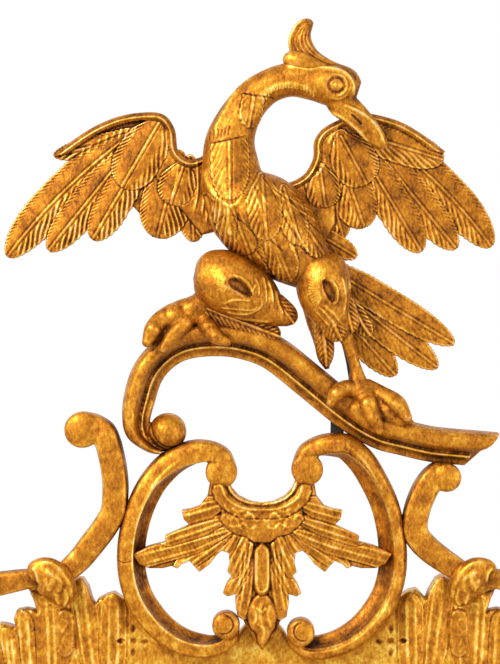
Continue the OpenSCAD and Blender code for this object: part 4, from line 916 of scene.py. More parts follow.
LEFT_ARM = smooth(on_crest([
    (-50, 459), (-57, 455), (-66.6, 454), (-75.6, 462.6), (-78.3, 480.6), (-87.3, 493.2), (-102.6, 495.9),
    (-127.8, 492.3), (-154.8, 480.6), (-187.2, 458.1)]), 5)
RIGHT_ARM = smooth(on_crest([
    (164.7, 460.5), (142.2, 477.2), (124.2, 487.2), (106.2, 492.8), (93.6, 494.6), (78, 492.5), (67.5, 488.5),
    (54, 480.6), (46.8, 469.8), (46, 456), (40, 442.8), (30, 435), (15, 431)]), 5)


def drawn_feathers(rows, **more):
    """Feather forms from rows of the wing drawings."""
    return [blade_form(*on_crest([root, tip]), width, bow, level, -2.0, inner=side, **more)
            for root, tip, width, bow, level, side in rows]


# %% Wings
LEFT_TICKS = [[(x, z), (x - 4, z + 11)] for x, z in (
    (84, 147), (92, 142), (100, 138), (108, 134), (115, 131), (122, 128), (129, 127), (136, 127))]
LEFT_STRAWS = [[(179, 171), (171, 200)], [(204, 150), (206, 180), (202, 215)],
               [(209, 152), (210, 190), (206, 225)], [(197, 160), (198, 190), (194, 212)]]
RIGHT_STRAWS = [[(338.5, 126), (333, 134), (328, 145)], [(326, 158), (322, 168), (316, 177)]]
for name, under, feathers, strokes, shoulder, rise, coverts, arm, box, ticks, straws in (
        ("left_wing", LEFT_UNDER, LEFT_FEATHERS, 0.8, LEFT_SHOULDER, 0.02, LEFT_COVERTS, LEFT_ARM,
         ((-236, 1172), (-24, 1312)), LEFT_TICKS, LEFT_STRAWS),
        ("right_wing", RIGHT_UNDER, RIGHT_FEATHERS, 0.5, RIGHT_SHOULDER, -0.02, RIGHT_COVERTS, RIGHT_ARM,
         ((-6, 1176), (212, 1312)), [], RIGHT_STRAWS)):
    wing = Carving(name + "_carved")
    forms = [plate_form(under, 47.0)] + drawn_feathers(feathers, strokes=strokes)
    forms.append(plate_form(shoulder, 52.5, edge=4, slope=(rise, 0.01)))
    forms += drawn_feathers(coverts, strokes=0.55, comb=0.6, begin=0.45, camber=2.2, rim=0.6)
    forms.append(arm_form(arm, 7.4, 55.0))
    relief_board(wing, forms, WING_D, box, cell=0.72)
    chisel(wing, ("ridge", 1.0, 0.9, 0.9, 52, ticks), ("ridge", 1.0, 0.9, 0.9, 54, straws))
    finish(wing, name)

# %% [markdown]
# The tail is laid in the same way, with long smooth feathers and hardly any barbs, because the photographed
# ones are nearly plain. The pointed tuft beside it is a small round form.

# %% Tail
TAIL = [((40, 350), (120.5, 259.5), 31, 0, 44.0, -1), ((42, 358), (158, 266.5), 31, 0, 45.0, -1),
        ((44, 366), (173, 288), 28, 0, 46.0, -1), ((42, 392), (85, 366), 19, 0, 49.0, -1)]
VENT = on_crest([(36, 338, 47, 5, 4), (41.4, 327.6, 47, 7.2, 5.8), (50.4, 309.6, 47, 10.8, 8),
                 (54.9, 291.6, 47, 9, 7.2), (56.7, 275.4, 47, 6.3, 5), (58.5, 265.5, 47, 1.8, 1.5)])
tail = Carving("bird_tail_carved")
relief_board(tail, drawn_feathers(TAIL, strokes=0.13, comb=0.1, rim=0.8, camber=1.2), FACE_D + 4,
             ((20, 1064), (182, 1204)), cell=0.8)
skin(tail, VENT, sides=24)
chisel(tail, ("ridge", 0.9, 0.8, 0.8, 52, [
    [(316, 310), (322, 335), (326, 362)], [(322, 312), (326, 335), (327, 355)], [(328, 318), (329, 335)],
    [(312, 300), (317, 330), (323, 352)]]))
finish(tail, "bird_tail")

# %% [markdown]
# ## The bird
# The body, the long neck and the head are one skin, swept through elliptical stations along the S of the
# neck, and the hooked beak is a second one. They are fused. Large scale feathers are then laid over the
# breast as forms, and the head's ridges, the eye and the beak's lines are chiselled. The eye itself is a
# ball in a sunk ring.

# %% Body, neck and head
BODY_D, BODY_HALF_T = 63.76, 32.24
BEAK_D = 66.0


def flatly(points, d, share, limit):
    """Stations of (x, z, half width), at depth d, thick by a share of their width but not over the limit."""
    return [(x, z, d, w, min(share * w, limit)) for x, z, w in on_crest(points)]


body = Carving("bird_body_carved")
skin(body, flatly([
    (56.7, 341, 10.8), (41.4, 356.4, 23.4), (23.4, 374.4, 34.2), (5.4, 394.2, 40.5), (-13.5, 412.2, 38),
    (-25.2, 430.2, 29.5), (-28.4, 449.1, 25.5), (-28.4, 468.9, 22.3), (-21.6, 487.8, 18.9),
    (-10.8, 504, 16.7), (5.4, 517.5, 15.3), (25.2, 523.8, 15.3), (45, 522, 16.7), (63, 519.3, 19.4),
    (77.4, 517.5, 16.2), (86.4, 514.8, 7.2)], BODY_D, 0.85, BODY_HALF_T))
skin(body, flatly([(60, 512, 8), (68, 505, 12.5), (79, 495.5, 12.3), (89, 486.5, 10.6), (97, 478, 9.2),
                  (103, 471, 7.6), (107.5, 465.5, 5.5), (109.5, 462.5, 2)], BEAK_D, 0.6, 8), sides=24)
fuse(body, 1.0, rounds=3)

# %% Scale feathers of the breast and neck
# Root, tip and width in mm, on the photographic view; from the lowest layer up
SCALES = [
    ((286, 196), (326, 258), 26), ((262, 214), (292, 280), 28), ((232, 214), (262, 282), 26),
    ((206, 196), (224, 262), 26), ((226, 190), (250, 253), 38), ((284, 188), (300, 245), 24),
    ((262, 176), (267, 240), 30), ((229, 118), (230.6, 200.5), 34)]
NECK_TIP = ((257, 80), (247.5, 126.5), 20)
# What the topmost feathers lie within: their roots end in a straight cut line
BELOW_LINE = seen([(180, 148), (212, 142.5), (219.8, 140.6), (238, 137.2), (275, 128), (300, 300),
                   (150, 300)], 92)
BELOW_HEAD = seen([(225, 80), (243, 91.5), (256, 94.5), (269, 95.5), (290, 112), (290, 200), (180, 200)], 92)


def scale_form(row, strokes=0.45):
    root, tip = seen(row[:2], 92)
    return blade_form(root, tip, row[2], level=0.2, lift=1.3, camber=0.6, inner=-1, strokes=strokes,
                      comb=0.25, begin=0.3, shaft=0.6, rim=0.4, full=0.6, tint=0.12)


overlay(body, [scale_form(row) for row in SCALES[:-1]] + [
    within_form(scale_form(SCALES[-1], 0.25), plate_form(BELOW_LINE, 0.0)),
    within_form(scale_form(NECK_TIP, 0.2), plate_form(BELOW_HEAD, 0.0))])

# %% Cuts of the breast, neck and head
NECK_FRINGE = [[(x, z - 1.5), (x + lean, z + 5)] for x, z, lean in (
    (262, 99, 1), (265, 95, 1), (268, 92, 1), (271, 89, 0), (274, 87, 0), (277, 85.5, 0), (280, 84.5, 0),
    (283, 84, 0), (286, 83.5, 0), (289, 83.5, 0), (292, 83.5, 0), (295, 84, 0), (298, 84.5, 0),
    (301, 85.5, 0), (304, 86.5, 0), (307, 88, 0), (310, 90, 1), (313, 92, 1))]
EYE = (336.5, 85)


def round_eye(r, first=0, last=360):
    """Points of a circle round the eye."""
    turns = [math.radians(a) for a in range(first, last + 1, 30)]
    return [(EYE[0] + r * math.cos(a), EYE[1] + r * math.sin(a)) for a in turns]


chisel(
    body,
    ("ridge", 2.4, 1.4, 0.8, 92, [
        [(203, 165), (206, 180), (213, 193), (224, 203), (232, 206), (240, 200), (246, 188)]]),
    ("ridge", 1.6, 1.0, 1.0, 92, [[(228, 208), (229, 236)]]),
    ("ridge", 0.8, 0.6, 0.7, 92, [
        [(213, 205), (206, 232)], [(220, 207), (214, 236)], [(203, 168), (201, 195), (203, 225)],
        [(262, 180), (290, 204), (330, 228)], [(268, 184), (300, 204), (324, 218)],
        [(284, 208), (298, 234), (312, 256)], [(252, 186), (262, 212), (266, 232)], [(256, 184), (268, 206)],
        [(240, 212), (248, 232)], [(262, 258), (270, 274)], [(288, 240), (300, 266)],
        [(274, 246), (282, 270)]]),
    ("cut", 1.0, 0.8, 0.8, 92, [
        [(231, 214), (244, 224), (254, 234), (257.5, 243), (253, 255)], [(256, 250), (266, 264), (277, 282)],
        [(280, 208), (292, 230), (308, 254)], [(288, 196), (306, 218), (326, 236)], [(270, 240), (284, 252)],
        [(263, 176), (272, 190), (279, 204)], [(224, 214), (214, 226)], [(238, 214), (236, 240)]]),
    ("cut", 0.9, 0.6, 0.7, 92, [[(241, 91), (256, 94.5), (269, 95.5), (277, 98)],
                                [(214, 142), (228, 139), (240, 136.5)]]),
    ("cut", 0.8, 0.6, 0.7, 90, [[(x, z), (x - 1.5, z + 10)] for x, z in (
        (206, 131), (210, 129.5), (214, 128), (218, 127.5), (222, 127), (226, 126), (230, 125))]),
    # A broad, low ridge under the head carries a band of painted highlight
    ("ridge", 3.0, 0.7, 0.8, 78, [[(258, 101), (266, 92), (276, 86), (290, 84), (304, 86), (314, 90)]]),
    ("ridge", 0.8, 0.8, 0.9, 76, NECK_FRINGE),
    ("ridge", 1.6, 1.2, 0.6, 78, [[(256, 72), (243, 82), (231, 98), (221, 116), (213, 134)]]),
    # A wide, shallow cut beside the neck's ridge is mostly a band of painted shade
    ("cut", 3.5, 0.4, 0.5, 72, [[(247, 72), (234, 84), (222, 102), (213, 120)]]))
chisel(
    body,
    ("ridge", 1.5, 1.8, 1.1, 78, [[(283, 61), (289, 65), (297, 67.5), (310, 69.5), (324, 67.5), (337, 69.5),
                                   (345, 73), (350, 78), (353, 84), (353, 93), (349, 99)]]),
    # A wide, shallow cut beside the head's ridge is mostly a band of painted shade
    ("cut", 4.0, 0.3, 0.55, 74, [[(332, 62), (345, 68), (356, 78), (359, 92), (355, 104)]]),
    ("cut", 2.6, 1.8, 0.6, 78, [round_eye(8)]),
    ("ridge", 1.0, 0.9, 0.8, 78, [round_eye(10.5, -90, 90)]),
    ("ridge", 1.1, 0.5, 0.5, 78, [round_eye(14, -60, 120)]),
    ("ridge", 1.3, 1.5, 1.2, 74, [[(345, 105), (358, 111), (370, 119), (379, 130), (385, 144)]]),
    ("ridge", 1.3, 1.4, 1.2, 74, [[(328, 111), (341, 116.5), (354, 126), (365, 137), (373, 149)]]),
    ("cut", 1.1, 1.8, 1.1, 74, [[(351, 114), (356, 118), (362, 125)]]))
eye_x, eye_z = seen([EYE], 80)[0]
ball(body, eye_x, eye_z, 75.5, 5.4, relief_shading=0.5)
finish(body, "bird_body")

# %% [markdown]
# The plume is a fan that rises from the crown, leans back and hooks over at its tip, with a raised rim
# painted with a highlight and fine flutes that run together at the top. It is a board with chiselled lines,
# and a small lobe rolls up behind it.

# %% Plume
PLUME_RIM = seen([(300, 70), (293.5, 58), (289.5, 47), (289, 37), (293, 27), (299.5, 20), (306, 17.5),
                  (311, 18.5), (313.5, 22), (312.5, 27), (311, 34), (313, 42), (319, 51), (332.5, 60),
                  (350, 69)], 72)
PLUME_FLUTES = [
    [(307, 22), (297, 34), (296, 46), (305, 60), (320, 66)],
    [(307, 23), (301, 35), (301, 46), (310, 57), (328, 65)],
    [(308, 24), (304, 36), (306, 46), (315, 56), (334, 65)],
    [(309, 25), (307, 37), (310, 46), (320, 56), (340, 66)]]
PLUME_EDGE = [(298, 66), (292.5, 56), (290.5, 46), (290.5, 37), (294.5, 28), (300.5, 21.5), (306, 19.5)]
plume = Carving("bird_plume_carved")
board(plume, smooth(PLUME_RIM + PLUME_RIM[:1], 4), 58.0, 70.0, edge=5, cell=0.6, relief_shading=-0.35)
chisel(plume, ("ridge", 1.0, 0.9, 0.5, 72, PLUME_FLUTES), ("ridge", 1.2, 1.6, 1.3, 72, [PLUME_EDGE]),
       ("cut", 2.2, 1.2, 0.4, 72, [[(300, 60), (296, 48), (295.5, 38), (300, 28)]]))
skin(plume, on_crest([(58, 532, 68, 5, 5), (46, 534.5, 70.5, 7.5, 5.5), (34, 539, 71, 9, 6),
                     (25, 541, 70, 8, 5), (19.5, 540, 68, 3, 3)]), sides=24, relief_shading=0.2)
finish(plume, "bird_plume")

# %% [markdown]
# The legs are two bulbs of feathered thigh with a sunk hollow, and feet whose knuckled toes close over the
# perch. Skins and balls are fused into one form. Pointed leaves end the thighs above the thin shanks.

# %% Leg drawings
PERCH_FACE_D = FACE_D + PERCH_T
LEG_D = BODY_D + 6
FOOT_D = FACE_D + 0.62 * PERCH_T
TOE_D = PERCH_FACE_D + 4
LEFT_THIGH = [(-60, 352.8, LEG_D, 7, 6), (-56, 351.9, LEG_D, 17, 15), (-46.8, 349.2, LEG_D + 1, 24.3, 20),
              (-32.4, 343.8, LEG_D + 3, 28, 24), (-16.2, 335.7, LEG_D + 3, 27, 24),
              (-1.8, 325.8, LEG_D, 21.6, 20), (11.7, 315, LEG_D, 12.6, 13), (25.2, 306.9, LEG_D, 3.6, 4)]
LEFT_FOOT = [
    [(-103, 291, TOE_D - 14, 5, 5), (-92, 302, TOE_D - 13, 12, 8), (-78, 312, TOE_D - 12, 13, 9),
     (-62, 318, TOE_D - 12, 9, 8)],
    [(-40, 340, LEG_D, 13, 13), (-52, 326, LEG_D - 4, 11, 11), (-62, 319, FOOT_D + 4, 12, 12),
     (-74, 317, FOOT_D + 2, 10, 11), (-80, 312, FOOT_D, 6, 7)],
    [(-72, 318, FOOT_D, 9, 8), (-88, 311, TOE_D - 8, 8.5, 7), (-97, 301, TOE_D - 2, 8, 6),
     (-102, 290, TOE_D, 5, 4)],
    [(-60, 318, FOOT_D, 8, 7), (-69, 307, TOE_D - 5, 7.5, 7), (-81, 294, TOE_D - 1, 6.5, 6),
     (-88, 284, TOE_D, 4, 4)],
    [(-54, 316, FOOT_D + 4, 8, 7), (-48, 303, TOE_D - 4, 8, 7), (-41, 295, TOE_D - 1, 7, 6),
     (-31, 290, TOE_D, 4, 4)]]
RIGHT_THIGH = [(54, 368.5, LEG_D, 10, 8), (54, 361.8, LEG_D, 19.8, 16), (54, 345.6, LEG_D, 24.3, 20),
               (56.7, 329.4, LEG_D, 23.4, 19), (63.9, 314.1, LEG_D - 2, 18, 14),
               (71.1, 302.4, LEG_D - 4, 10.8, 9), (75.6, 291.6, LEG_D - 5, 6.3, 6),
               (79.2, 280.8, LEG_D - 7, 5.4, 5.5), (83.7, 266.4, FOOT_D + 5, 5.4, 5.5),
               (85.5, 254, FOOT_D + 3, 9, 9), (87, 245, FOOT_D + 3, 13, 11), (87, 237, FOOT_D + 2, 7, 7)]
RIGHT_FOOT = [
    [(100, 234, TOE_D - 14, 9, 8), (112, 227, TOE_D - 13, 11, 9), (124, 221, TOE_D - 13, 9, 8),
     (133, 216, TOE_D - 14, 4, 4)],
    [(72, 237, TOE_D - 12, 4, 4), (84, 230, TOE_D - 9, 9, 7), (94, 220, TOE_D - 8, 8, 6),
     (100, 213, TOE_D - 8, 4, 4)],
    [(84, 247, FOOT_D + 2, 9, 8), (74, 248, TOE_D - 8, 8, 7.5), (66, 244, TOE_D - 1, 7.5, 6.5),
     (61.5, 236, TOE_D, 4.5, 4)],
    [(89, 245, FOOT_D + 4, 10, 9), (94, 235, TOE_D - 4, 8.5, 7.5), (99, 223, TOE_D - 1, 7.5, 6.5),
     (104.5, 211.5, TOE_D, 4.5, 4)],
    [(92, 248, FOOT_D, 10, 9), (105, 243, FOOT_D + 2, 8.5, 8), (119.7, 234, TOE_D - 7, 9, 8),
     (129, 223, TOE_D - 2, 4.5, 4)]]

# %% Hollows, lines and leaves of the thighs
LEFT_PIT = [(228, 283), (229.8, 278.5), (234.7, 277.5), (241.4, 281), (248, 287.3), (252.5, 296.5),
            (246.3, 296.5), (238, 292), (231.4, 288)]
RIGHT_PIT = [(322.6, 281), (326, 279.5), (331, 283), (335, 290.7), (335, 299), (332.6, 302.5),
             (327.6, 297.3), (323.4, 289)]
LEFT_LINES = [
    [(234, 275.5), (243, 278.5), (250, 286), (254, 297)], [(223, 304), (235, 300), (251, 301)],
    [(220, 307.5), (236, 309), (252, 310), (258, 306)], [(226, 312), (246, 314), (260, 308), (262, 300)],
    [(255, 278), (259, 288), (258, 297)], [(268, 280), (272, 292), (273, 304)],
    [(263, 276), (266, 290), (266, 303)], [(276, 290), (279, 304), (284, 314)],
    [(230, 317), (252, 320), (272, 322)], [(256, 284), (252, 292)]]
RIGHT_LINES = [
    [(331, 279), (337, 288), (337.5, 300), (333, 305)], [(342, 276), (346, 295), (344, 315)],
    [(349, 280), (353, 300), (350, 322)], [(356, 284), (359, 300)], [(318, 306), (330, 318), (342, 334)],
    [(316, 311), (328, 324), (338, 338)], [(322, 304), (334, 314), (344, 326)]]
LEFT_LEAVES = [((196, 304), (281, 337), 25, 0, 60, 74), ((262, 294), (294.5, 324), 20, 2, 62, 80)]
RIGHT_LEAVES = [((352, 300), (371, 336), 16, -2, 56, 62), ((322, 302), (326.5, 367), 17, 0, 54, 66),
                ((342, 290), (353, 333), 18, 0, 62, 78), ((320, 296), (342, 341), 24, 0, 66, 82)]


def fan(x, z, near, far, degrees):
    """Short strokes that fan out to the left of a middle, from one ellipse to a larger one."""
    return [[(x - w * math.cos(math.radians(a)), z - h * math.sin(math.radians(a))) for w, h in (near, far)]
            for a in degrees]


LEFT_HAIRS = fan(229, 283, (4, 4), (13, 12), range(-60, 60, 13))
RIGHT_HAIRS = fan(324, 289, (4, 9), (16, 21), range(-60, 100, 9))

# %% Legs
for name, thigh, foot, depth, pit, lines, hairs, tufts in (
        ("left_leg", LEFT_THIGH, LEFT_FOOT, 92, LEFT_PIT, LEFT_LINES, LEFT_HAIRS, LEFT_LEAVES),
        ("right_leg", RIGHT_THIGH, RIGHT_FOOT, 90, RIGHT_PIT, RIGHT_LINES, RIGHT_HAIRS, RIGHT_LEAVES)):
    leg = Carving(name + "_carved")
    skin(leg, on_crest(thigh), sides=32)
    for toe in foot:
        skin(leg, on_crest(toe), sides=20)
        for x, z, d, w, h in on_crest(toe)[1:]:
            ball(leg, x, z, d, w)
    fuse(leg, 1.0)
    overlay(leg, [pit_form(seen(pit, depth), 4.5)])
    chisel(leg, ("ridge", 1.0, 1.0, 0.8, depth, lines), ("ridge", 0.7, 0.5, 0.8, 90, hairs))
    for root, tip, width, bow, low, high in tufts:
        root, tip = seen([root, tip], high)
        leaf_net(leg, root, tip, width, bow, low, high, veins=0.8)
    finish(leg, name)

# %% [markdown]
# ## Leaves
# The hanging leaf between the rings is cut from one board with lobes to both sides. Its edge is rounded
# over, its lobes are raised by wide ridges, and narrow flutes fan out from the collar at the top.

# %% The hanging leaf
LEAF_HALF = [(0, 145), (-11, 147), (-21, 152), (-27, 159), (-31, 168), (-37, 170), (-44, 169), (-47, 163),
             (-49, 152), (-56, 143), (-65, 140), (-72, 139), (-70, 131), (-65, 126), (-76, 121), (-87, 116),
             (-86, 111), (-101, 107), (-116, 100), (-110, 91), (-101, 87), (-89, 87), (-81, 89), (-76, 87),
             (-72, 91), (-65, 94), (-58, 86), (-56, 84), (-47, 91), (-40, 100), (-36, 103), (-30, 101),
             (-29, 92), (-31, 84), (-27, 80), (-32, 73), (-35, 65), (-31, 62), (-24, 64), (-24, 56),
             (-22, 44), (-17, 41), (-10, 26), (0, 14)]
# Lobes of the left half as root, tip, width, level, ridge places and strokes; from the lowest layer up
LEAF_LOBES = [
    ((252, 560), (242, 620), 17, 53.0, (-0.4, 0.4), 0.0),
    ((250, 545), (223, 598), 22, 53.5, (-0.5, 0.1, 0.6), 0.0),
    ((246, 535), (226, 578), 18, 53.5, (-0.3, 0.4), 0.0),
    ((238, 525), (198, 576), 24, 54.0, (-0.5, 0, 0.5), 0.0),
    ((232, 530), (174, 572), 17, 54.0, (-0.2, 0.4), 0.0),
    ((228, 530), (126, 558), 27, 54.5, (-0.45, 0.1, 0.7), 0.1),
    ((228, 518), (158, 541), 17, 54.5, (-0.3, 0.4), 0.0),
    ((226, 502), (176, 516), 21, 54.0, (-0.4, 0.2), 0.0)]
COLLAR = [  # level, and the left half of each of its two rolls
    (57.0, [(262, 514), (248, 513), (236, 508), (228, 500), (222, 508), (219, 520), (227, 529), (236, 535),
            (246, 537), (254, 543), (262, 544)]),
    (57.8, [(262, 507), (248, 506), (237, 501), (229, 494), (225, 486), (220, 483), (213, 485), (212, 492),
            (215, 501), (224, 510), (234, 516), (248, 519), (262, 519)])]
DROP = [(262, 590), (252, 600), (247, 616), (250, 628), (256, 634), (257, 642), (262, 650), (268, 641),
        (272, 633), (276, 626), (277, 615), (272, 600), (262, 590)]
STEM = [(262, 543), (254.5, 550), (254, 570), (254.5, 590), (262, 596), (269.5, 590), (270, 570),
        (269.5, 550), (262, 543)]
leaf = Carving("cartouche_leaf_carved")
outline = on_crest(LEAF_HALF + [(-x, z) for x, z in LEAF_HALF[-2:0:-1]])
ground = plate_form(outline, 53.0, edge=4)
forms = [ground]
for side in (-1, 1):
    for root, tip, width, level, lines, barbs in LEAF_LOBES:
        root, tip = seen(turned(side, [root, tip]), level)
        forms.append(within_form(lobe_form(root, tip, width, level, lines, barbs), ground))
for level, half in COLLAR:
    forms.append(plate_form(seen(half + turned(1, half[::-1]), 57), level, edge=3))
forms.append(plate_form(smooth(seen(DROP, 56), 4), 57.0, edge=4))
forms.append(plate_form(smooth(seen(STEM, 60), 4), 59.0, edge=3))
relief_board(leaf, forms, FACE_D + 2, ((-122, 820), (122, 985)), cell=0.8)

# %% Chisel cuts of the hanging leaf
CRUST = [
    [(220, 521), (225, 515), (231, 520), (236, 514), (243, 519), (250, 513), (256, 521), (262, 518)],
    [(232, 508), (238, 512), (246, 511), (251, 516)],
    [(229, 526), (237, 527), (244, 524), (250, 529), (257, 526)], [(236, 518), (241, 530)],
    [(224, 505), (229, 512)]]
chisel(
    leaf,
    ("ridge", 1.3, 1.4, 1.0, 58, both_sides([[(262, 504), (248, 503), (237, 498), (230, 490), (228, 481)]])),
    ("ridge", 1.1, 1.2, 0.9, 58, both_sides([[(262, 510), (247, 509), (234, 504), (225, 496), (221, 484)]])),
    ("ridge", 1.2, 0.9, 0.55, 58, both_sides(CRUST)),
    ("ridge", 1.0, 1.0, 0.9, 60, [[(262, 548), (257, 551), (256, 570), (257, 588), (262, 592), (267, 588),
                                   (268, 570), (267, 551), (262, 548)]]),
    ("ridge", 0.8, 0.7, 0.8, 56, both_sides([[(x, 545), (x - 3, 590)] for x in (250, 246, 242)])),
    ("ridge", 1.2, 0.8, 0.7, 57, [
        [(253, 606), (256, 618), (253, 628)], [(262, 600), (260, 616), (264, 632), (261, 644)],
        [(271, 604), (268, 616), (271, 628)], [(256, 608), (262, 612), (267, 608)],
        [(257, 624), (263, 628)]]))
finish(leaf, "cartouche_leaf")

# %% [markdown]
# Single leaves clasp the shoulder bars, and cover the places where the border's scrolls meet, as a carver
# hides a joint. The clasps are rounded lumps with a few ridges, and the others are small fans of the carved
# leaf above.

# %% Clasps and border leaves
LEAF_T = 12.0


def leaves(name, groups, side):
    """groups hold (root, tips, width, underside, crown) on the left; side is -1 for left and 1 for right."""
    carving = Carving(name + "_carved")
    for root, tips, width, low, high in groups:
        for tip in tips:
            leaf_net(carving, (-side * root[0], root[1]), (-side * tip[0], tip[1]), width, 0, low, high)
    finish(carving, name)


def around(root, *steps):
    return [(root[0] + x, root[1] + z) for x, z in steps]


CLASP_D = FACE_D + BAND_T + 6
CLASP = [  # stations as (x, z) on the view, then depth, half width and half depth in mm
    (31, 577, 58, 6, 4), (37, 572, 60, 11, 6), (46, 574, 61, 15, 7), (54, 582, 60, 17, 7),
    (60, 592, 57, 15, 6), (63, 600, 55, 11, 5), (65, 606, 53, 5, 3)]
CLASP_LINES = [[(31, 568), (36, 575), (37, 584)], [(40, 562), (52, 565), (62, 574), (69, 587), (71, 600)],
               [(46, 570), (52, 578), (50, 586)], [(56, 574), (60, 584), (57, 594)], [(44, 580), (50, 592)],
               [(64, 588), (66, 600), (62, 608)], [(54, 594), (58, 606)]]
SIDE_ROOT, LOWER_ROOT, UPPER_ROOT = (-487.0, 403.0), (-487.0, 56.0), (-511.0, 754.0)
for side, hand in ((-1, "left"), (1, "right")):
    clasp = Carving("clasp_leaf_" + hand + "_carved")
    skin(clasp, [(*seen(turned(side, [(x, z)]), CLASP_D)[0], d, w, t) for x, z, d, w, t in CLASP])
    chisel(clasp, ("ridge", 1.5, 1.6, 1.0, 72, [turned(side, line) for line in CLASP_LINES]))
    finish(clasp, "clasp_leaf_" + hand)
    leaves("side_leaf_" + hand, [
        (SIDE_ROOT, around(SIDE_ROOT, (-46, 17), (-46, -17)), 15, FACE_D, FACE_D + LEAF_T),
        (SIDE_ROOT, around(SIDE_ROOT, (-58, 0)), 20, FACE_D, FACE_D + LEAF_T + 5)], side)
    leaves("upper_corner_leaf_" + hand, [
        (UPPER_ROOT, around(UPPER_ROOT, (-50, 4), (-2, 74)), 24, FACE_D, FACE_D + LEAF_T),
        (UPPER_ROOT, around(UPPER_ROOT, (-52, 38), (-30, 64)), 27, FACE_D, FACE_D + LEAF_T + 6)], side)
    leaves("lower_corner_leaf_" + hand, [
        (LOWER_ROOT, around(LOWER_ROOT, (-37, 26), (-44, -4), (4, -48)), 20, FACE_D, FACE_D + LEAF_T),
        (LOWER_ROOT, around(LOWER_ROOT, (-42, -32), (-20, -50)), 24, FACE_D, FACE_D + LEAF_T + 6)], side)

# %% [markdown]
# A small shell marks the middle of the bottom edge: seven leaves fan out from a boss.

# %% Bottom shell
SHELL_R = 51.0
shell = Carving("bottom_shell_carved")
for angle in range(-75, 76, 25):
    a = math.radians(angle)
    tip = (SHELL_R * math.sin(a), 6 + SHELL_R * math.cos(a))
    leaf_net(shell, (0, 6), tip, 17, 0, FACE_D, FACE_D + LEAF_T)
ball(shell, 0, 16, FACE_D + LEAF_T - 1, 9)
finish(shell, "bottom_shell")

# %% [markdown]
# ## The border of the frame
# The border scrolls sweep along the carcass's edges in the same plain section, and each ends in small knobs.

# %% Border scrolls
BORDER_W, BORDER_T, BORDER_R = 21.0, 20.0, 14.0


def arc(p, q, rise, n=18):
    """A circular arc from p to q that rises to the left of the line p-q, with tapered ends."""
    p, q = np.array(p, float), np.array(q, float)
    half = np.linalg.norm(q - p) / 2
    r = (half ** 2 + rise ** 2) / (2 * abs(rise))
    along = (q - p) / (2 * half)
    up = np.array([-along[1], along[0]]) * np.sign(rise)
    centre = (p + q) / 2 + up * (abs(rise) - r)
    reach = math.asin(half / r)
    return [(*(centre + r * (along * math.sin(a) + up * math.cos(a))),
             0.72 + 0.28 * math.sin(math.pi * i / n)) for i, a in enumerate(np.linspace(-reach, reach, n + 1))]


def border_scroll(name, edge, knobs):
    carving = Carving(name + "_carved")
    line, side = sweep(carving, edge, BORDER_W, BORDER_T, FLAT_SECTION, steps=3)
    for end in knobs:
        knob(carving, line, side, end, BORDER_R * np.sign(edge[0][2]), BORDER_T)
    fuse(carving, 1.2)
    finish(carving, name)


def mirrored(edge):
    return [(-p[0], p[1], -p[2]) for p in edge]


SHOULDER = [(-190, 897, .6), (-236, 894, 1), (-321.8, 876.7, 1), (-413.3, 838.8, 1), (-484.8, 800, 1),
            (-522, 763, 1)]
for hand, placed in (("left", lambda edge: edge), ("right", mirrored)):
    border_scroll("side_scroll_lower_" + hand, placed(arc((-511.5, 369), (-511.5, 165), -24.5)), (0, -1))
    border_scroll("side_scroll_upper_" + hand, placed(arc((-511.5, 716), (-511.5, 437), -24.5)), (0, -1))
    border_scroll("shoulder_scroll_" + hand, placed(SHOULDER), (-1,))
    border_scroll("bottom_scroll_" + hand,
                  placed([(-x, z, -w) for x, z, w in arc((74, 31), (452, 31), -23)]), (0, -1))

# %% [markdown]
# ## The panel
# Behind the rings stands a low rocaille panel. Its lobed outline is cut from one board, pairs of sharp
# ridges run up its flutes, raised ovals sit between them, and small punched leaf dots fill the bright
# ground.

# %% Panel
PANEL_INNER = [(24, 21), (52, 22.5), (74, 27.5), (92, 40), (106, 55), (116, 61)]
PANEL_OUTER = [(182, 83), (196, 84), (238, 80), (238, 69), (211, 66), (207, 58), (202.5, 44), (206, 47),
               (214, 48.6), (222, 47), (224.5, 39.6), (222, 30.6), (228.6, 33.3), (236, 35), (245, 33),
               (252, 25), (250, 15), (258, 14), (270, 8), (286, -2), (296, -12)]
LEFT_TOPS = [(126, 57.6), (134, 63), (141, 61), (148.5, 57), (151, 52), (154, 57.6), (157, 68), (162, 76),
             (166.5, 76), (174, 72)]
RIGHT_TOPS = [(126, 60), (133, 64.8), (140.4, 66.6), (148.5, 57.6), (151.2, 64.8), (157.5, 75.6), (163, 79),
              (169, 76), (176, 74)]
PANEL_MIDDLE = [(-20, 28), (-12, 37), (0, 40), (12, 37), (20, 28)]
# Lobes of the left half as root, tip, width and ridge places; from the lowest layer up
PANEL_LOBES = [
    ((40, 690), (33, 592), 17, (0.3,)), ((50, 690), (46, 590), 40, (-0.3, 0.0, 0.75)),
    ((28, 690), (22, 610), 19, (-0.4, 0.4)), ((12, 695), (5, 627), 22, (-0.4, 0.0, 0.4)),
    ((-2, 695), (-16, 640), 26, (-0.4, 0.0, 0.4)), ((-18, 700), (-42, 656), 26, (-0.4, 0.0, 0.4)),
    ((95, 690), (80, 577), 24, (-0.1, 0.6)), ((112, 690), (114, 592), 25, (-0.35, 0.3))]
OVAL = [(65, 609), (58.5, 612), (56.5, 624), (56.5, 642), (58.5, 653), (65, 657), (71.5, 653), (73.5, 642),
        (73.5, 624), (71.5, 612), (65, 609)]
PETALS = [[(133 + x, 641 + z) for x, z in petal] for petal in (
    [(-8, 0), (-12, -2), (-16, 0), (-12, 2)], [(8, 1), (11.5, -1), (15, 1), (11.5, 3)],
    [(0, -8), (-2, -11.5), (0, -15.5), (2, -11.5)], [(0, 8), (2, 11.5), (0, 15.5), (-2, 11.5)],
    [(-2.5, -2), (2.5, -2), (2.5, 2), (-2.5, 2)])]
panel = Carving("crest_panel_carved")
